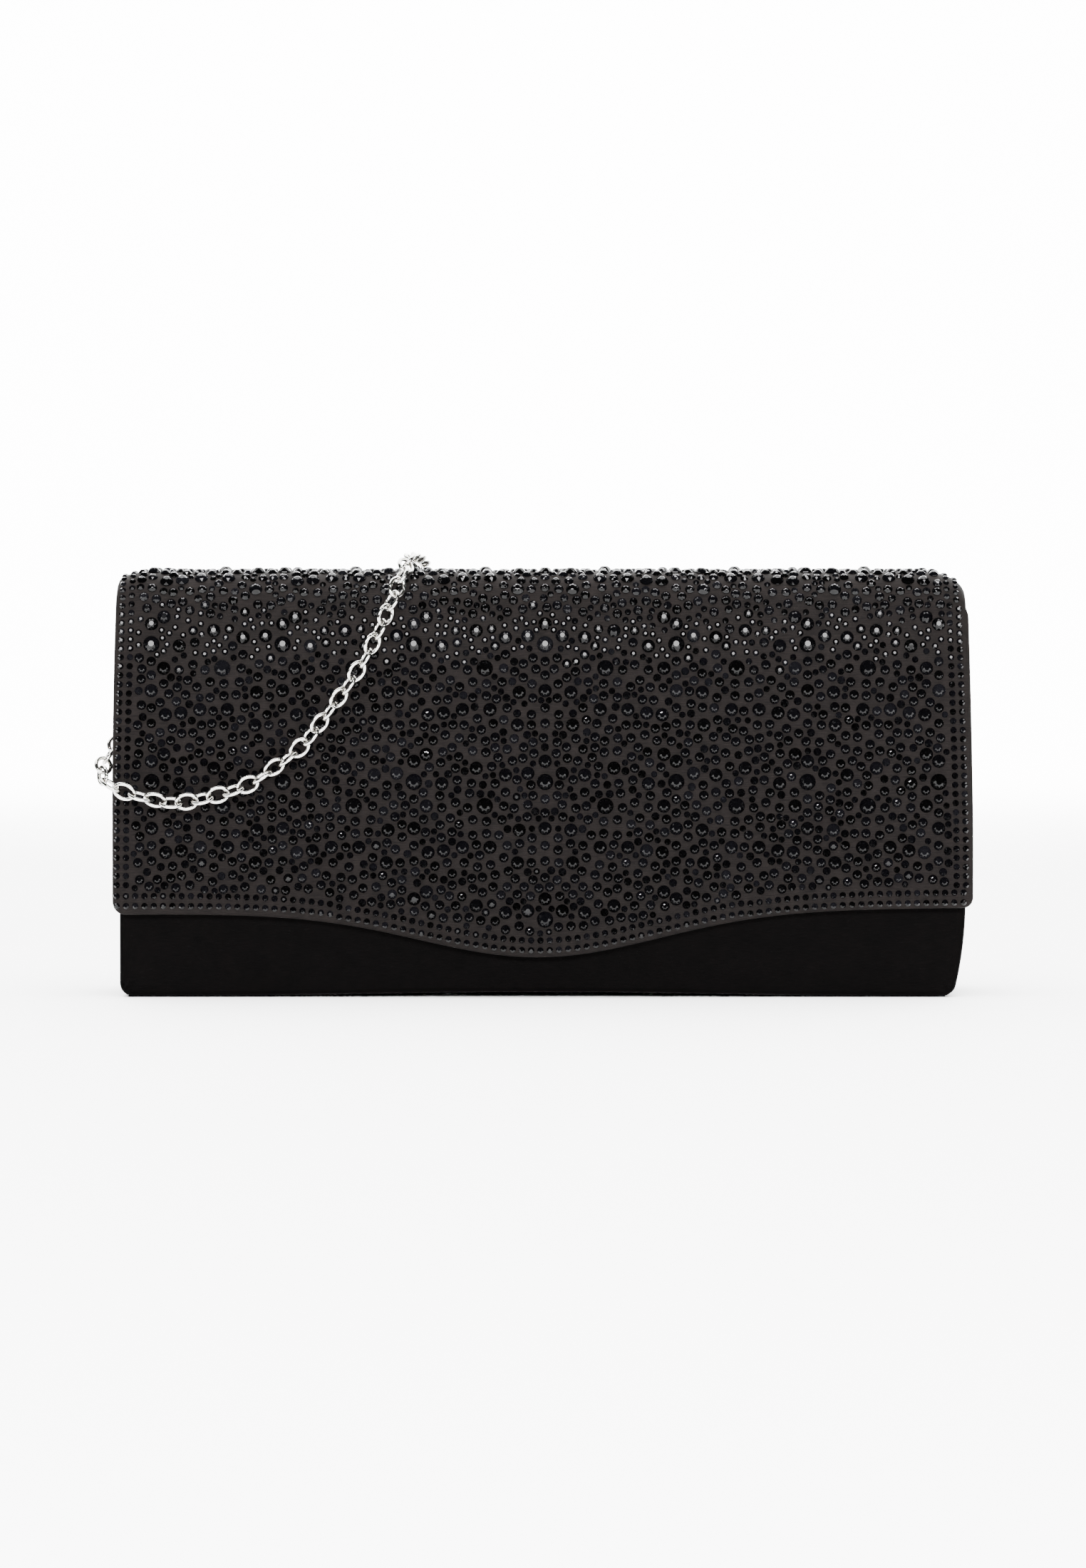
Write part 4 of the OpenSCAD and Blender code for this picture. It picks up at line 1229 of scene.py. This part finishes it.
# %% Floor and lights
def sweep():
    points, faces = [], []
    section = [(-1.0, 0), (0.5, 0), (1.9, 0)]
    section += [(1.9 + 0.7 * math.sin(a), 0.7 - 0.7 * math.cos(a)) for a in np.linspace(0.1, math.pi / 2, 12)]
    section += [(2.6, 3.2)]
    for y, z in section:
        points += [(-3.0, y, z), (3.0, y, z)]
    for k in range(len(section) - 1):
        faces.append((2 * k, 2 * k + 1, 2 * k + 3, 2 * k + 2))
    return points, faces


paper, shader = finish("pale_paper", Base_Color=colour("#f6f6f6"), Roughness=0.7, Specular_IOR_Level=0.2)
points, faces = sweep()
floor = put("floor", points, faces, paper)
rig.stage(floor)


def lamp(name, place, target, size, size_y, power, tint="#ffffff"):
    data = bpy.data.lights.new(name, "AREA")
    data.shape = "RECTANGLE"
    data.size, data.size_y = size, size_y
    data.energy = power
    data.color = colour(tint)[:3]
    made = bpy.data.objects.new(name, data)
    bpy.context.scene.collection.objects.link(made)
    made.location = place
    made.rotation_euler = (Vector(target) - Vector(place)).to_track_quat("-Z", "Y").to_euler()
    return made


lamp("overhead", (0, 1.1, 1.5), (0, 1.0, 0), 3.0, 2.2, 240)
fill = lamp("table_fill", (0, -0.5, 1.5), (0, -0.5, 0), 2.2, 1.0, 130)
fill.visible_glossy = False
lamp("front_strip", (0, -1.35, 0.52), (0, 0, 0.1), 1.8, 0.22, 58)
lamp("spark_left", (-0.35, -1.0, 1.25), (0, 0, 0.06), 0.1, 0.1, 5)
lamp("spark_right", (0.55, -1.05, 1.1), (0, 0, 0.06), 0.1, 0.1, 5)
lamp("backdrop", (0, 1.75, 1.15), (0, 2.6, 0.4), 3.4, 1.0, 260)
world = bpy.data.worlds.new("studio")
bpy.context.scene.world = world
world.use_nodes = True
world.node_tree.nodes["Background"].inputs["Color"].default_value = colour("#ffffff")
world.node_tree.nodes["Background"].inputs["Strength"].default_value = 0.08

# %% Save the sizes and finish
low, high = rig.bounds()
sizes["shown"] = [list(low), list(high)]
with open("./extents.json", "w") as target:
    json.dump(sizes, target)
print("shown size in mm:", [round((b - a) / MM, 1) for a, b in zip(low, high)])
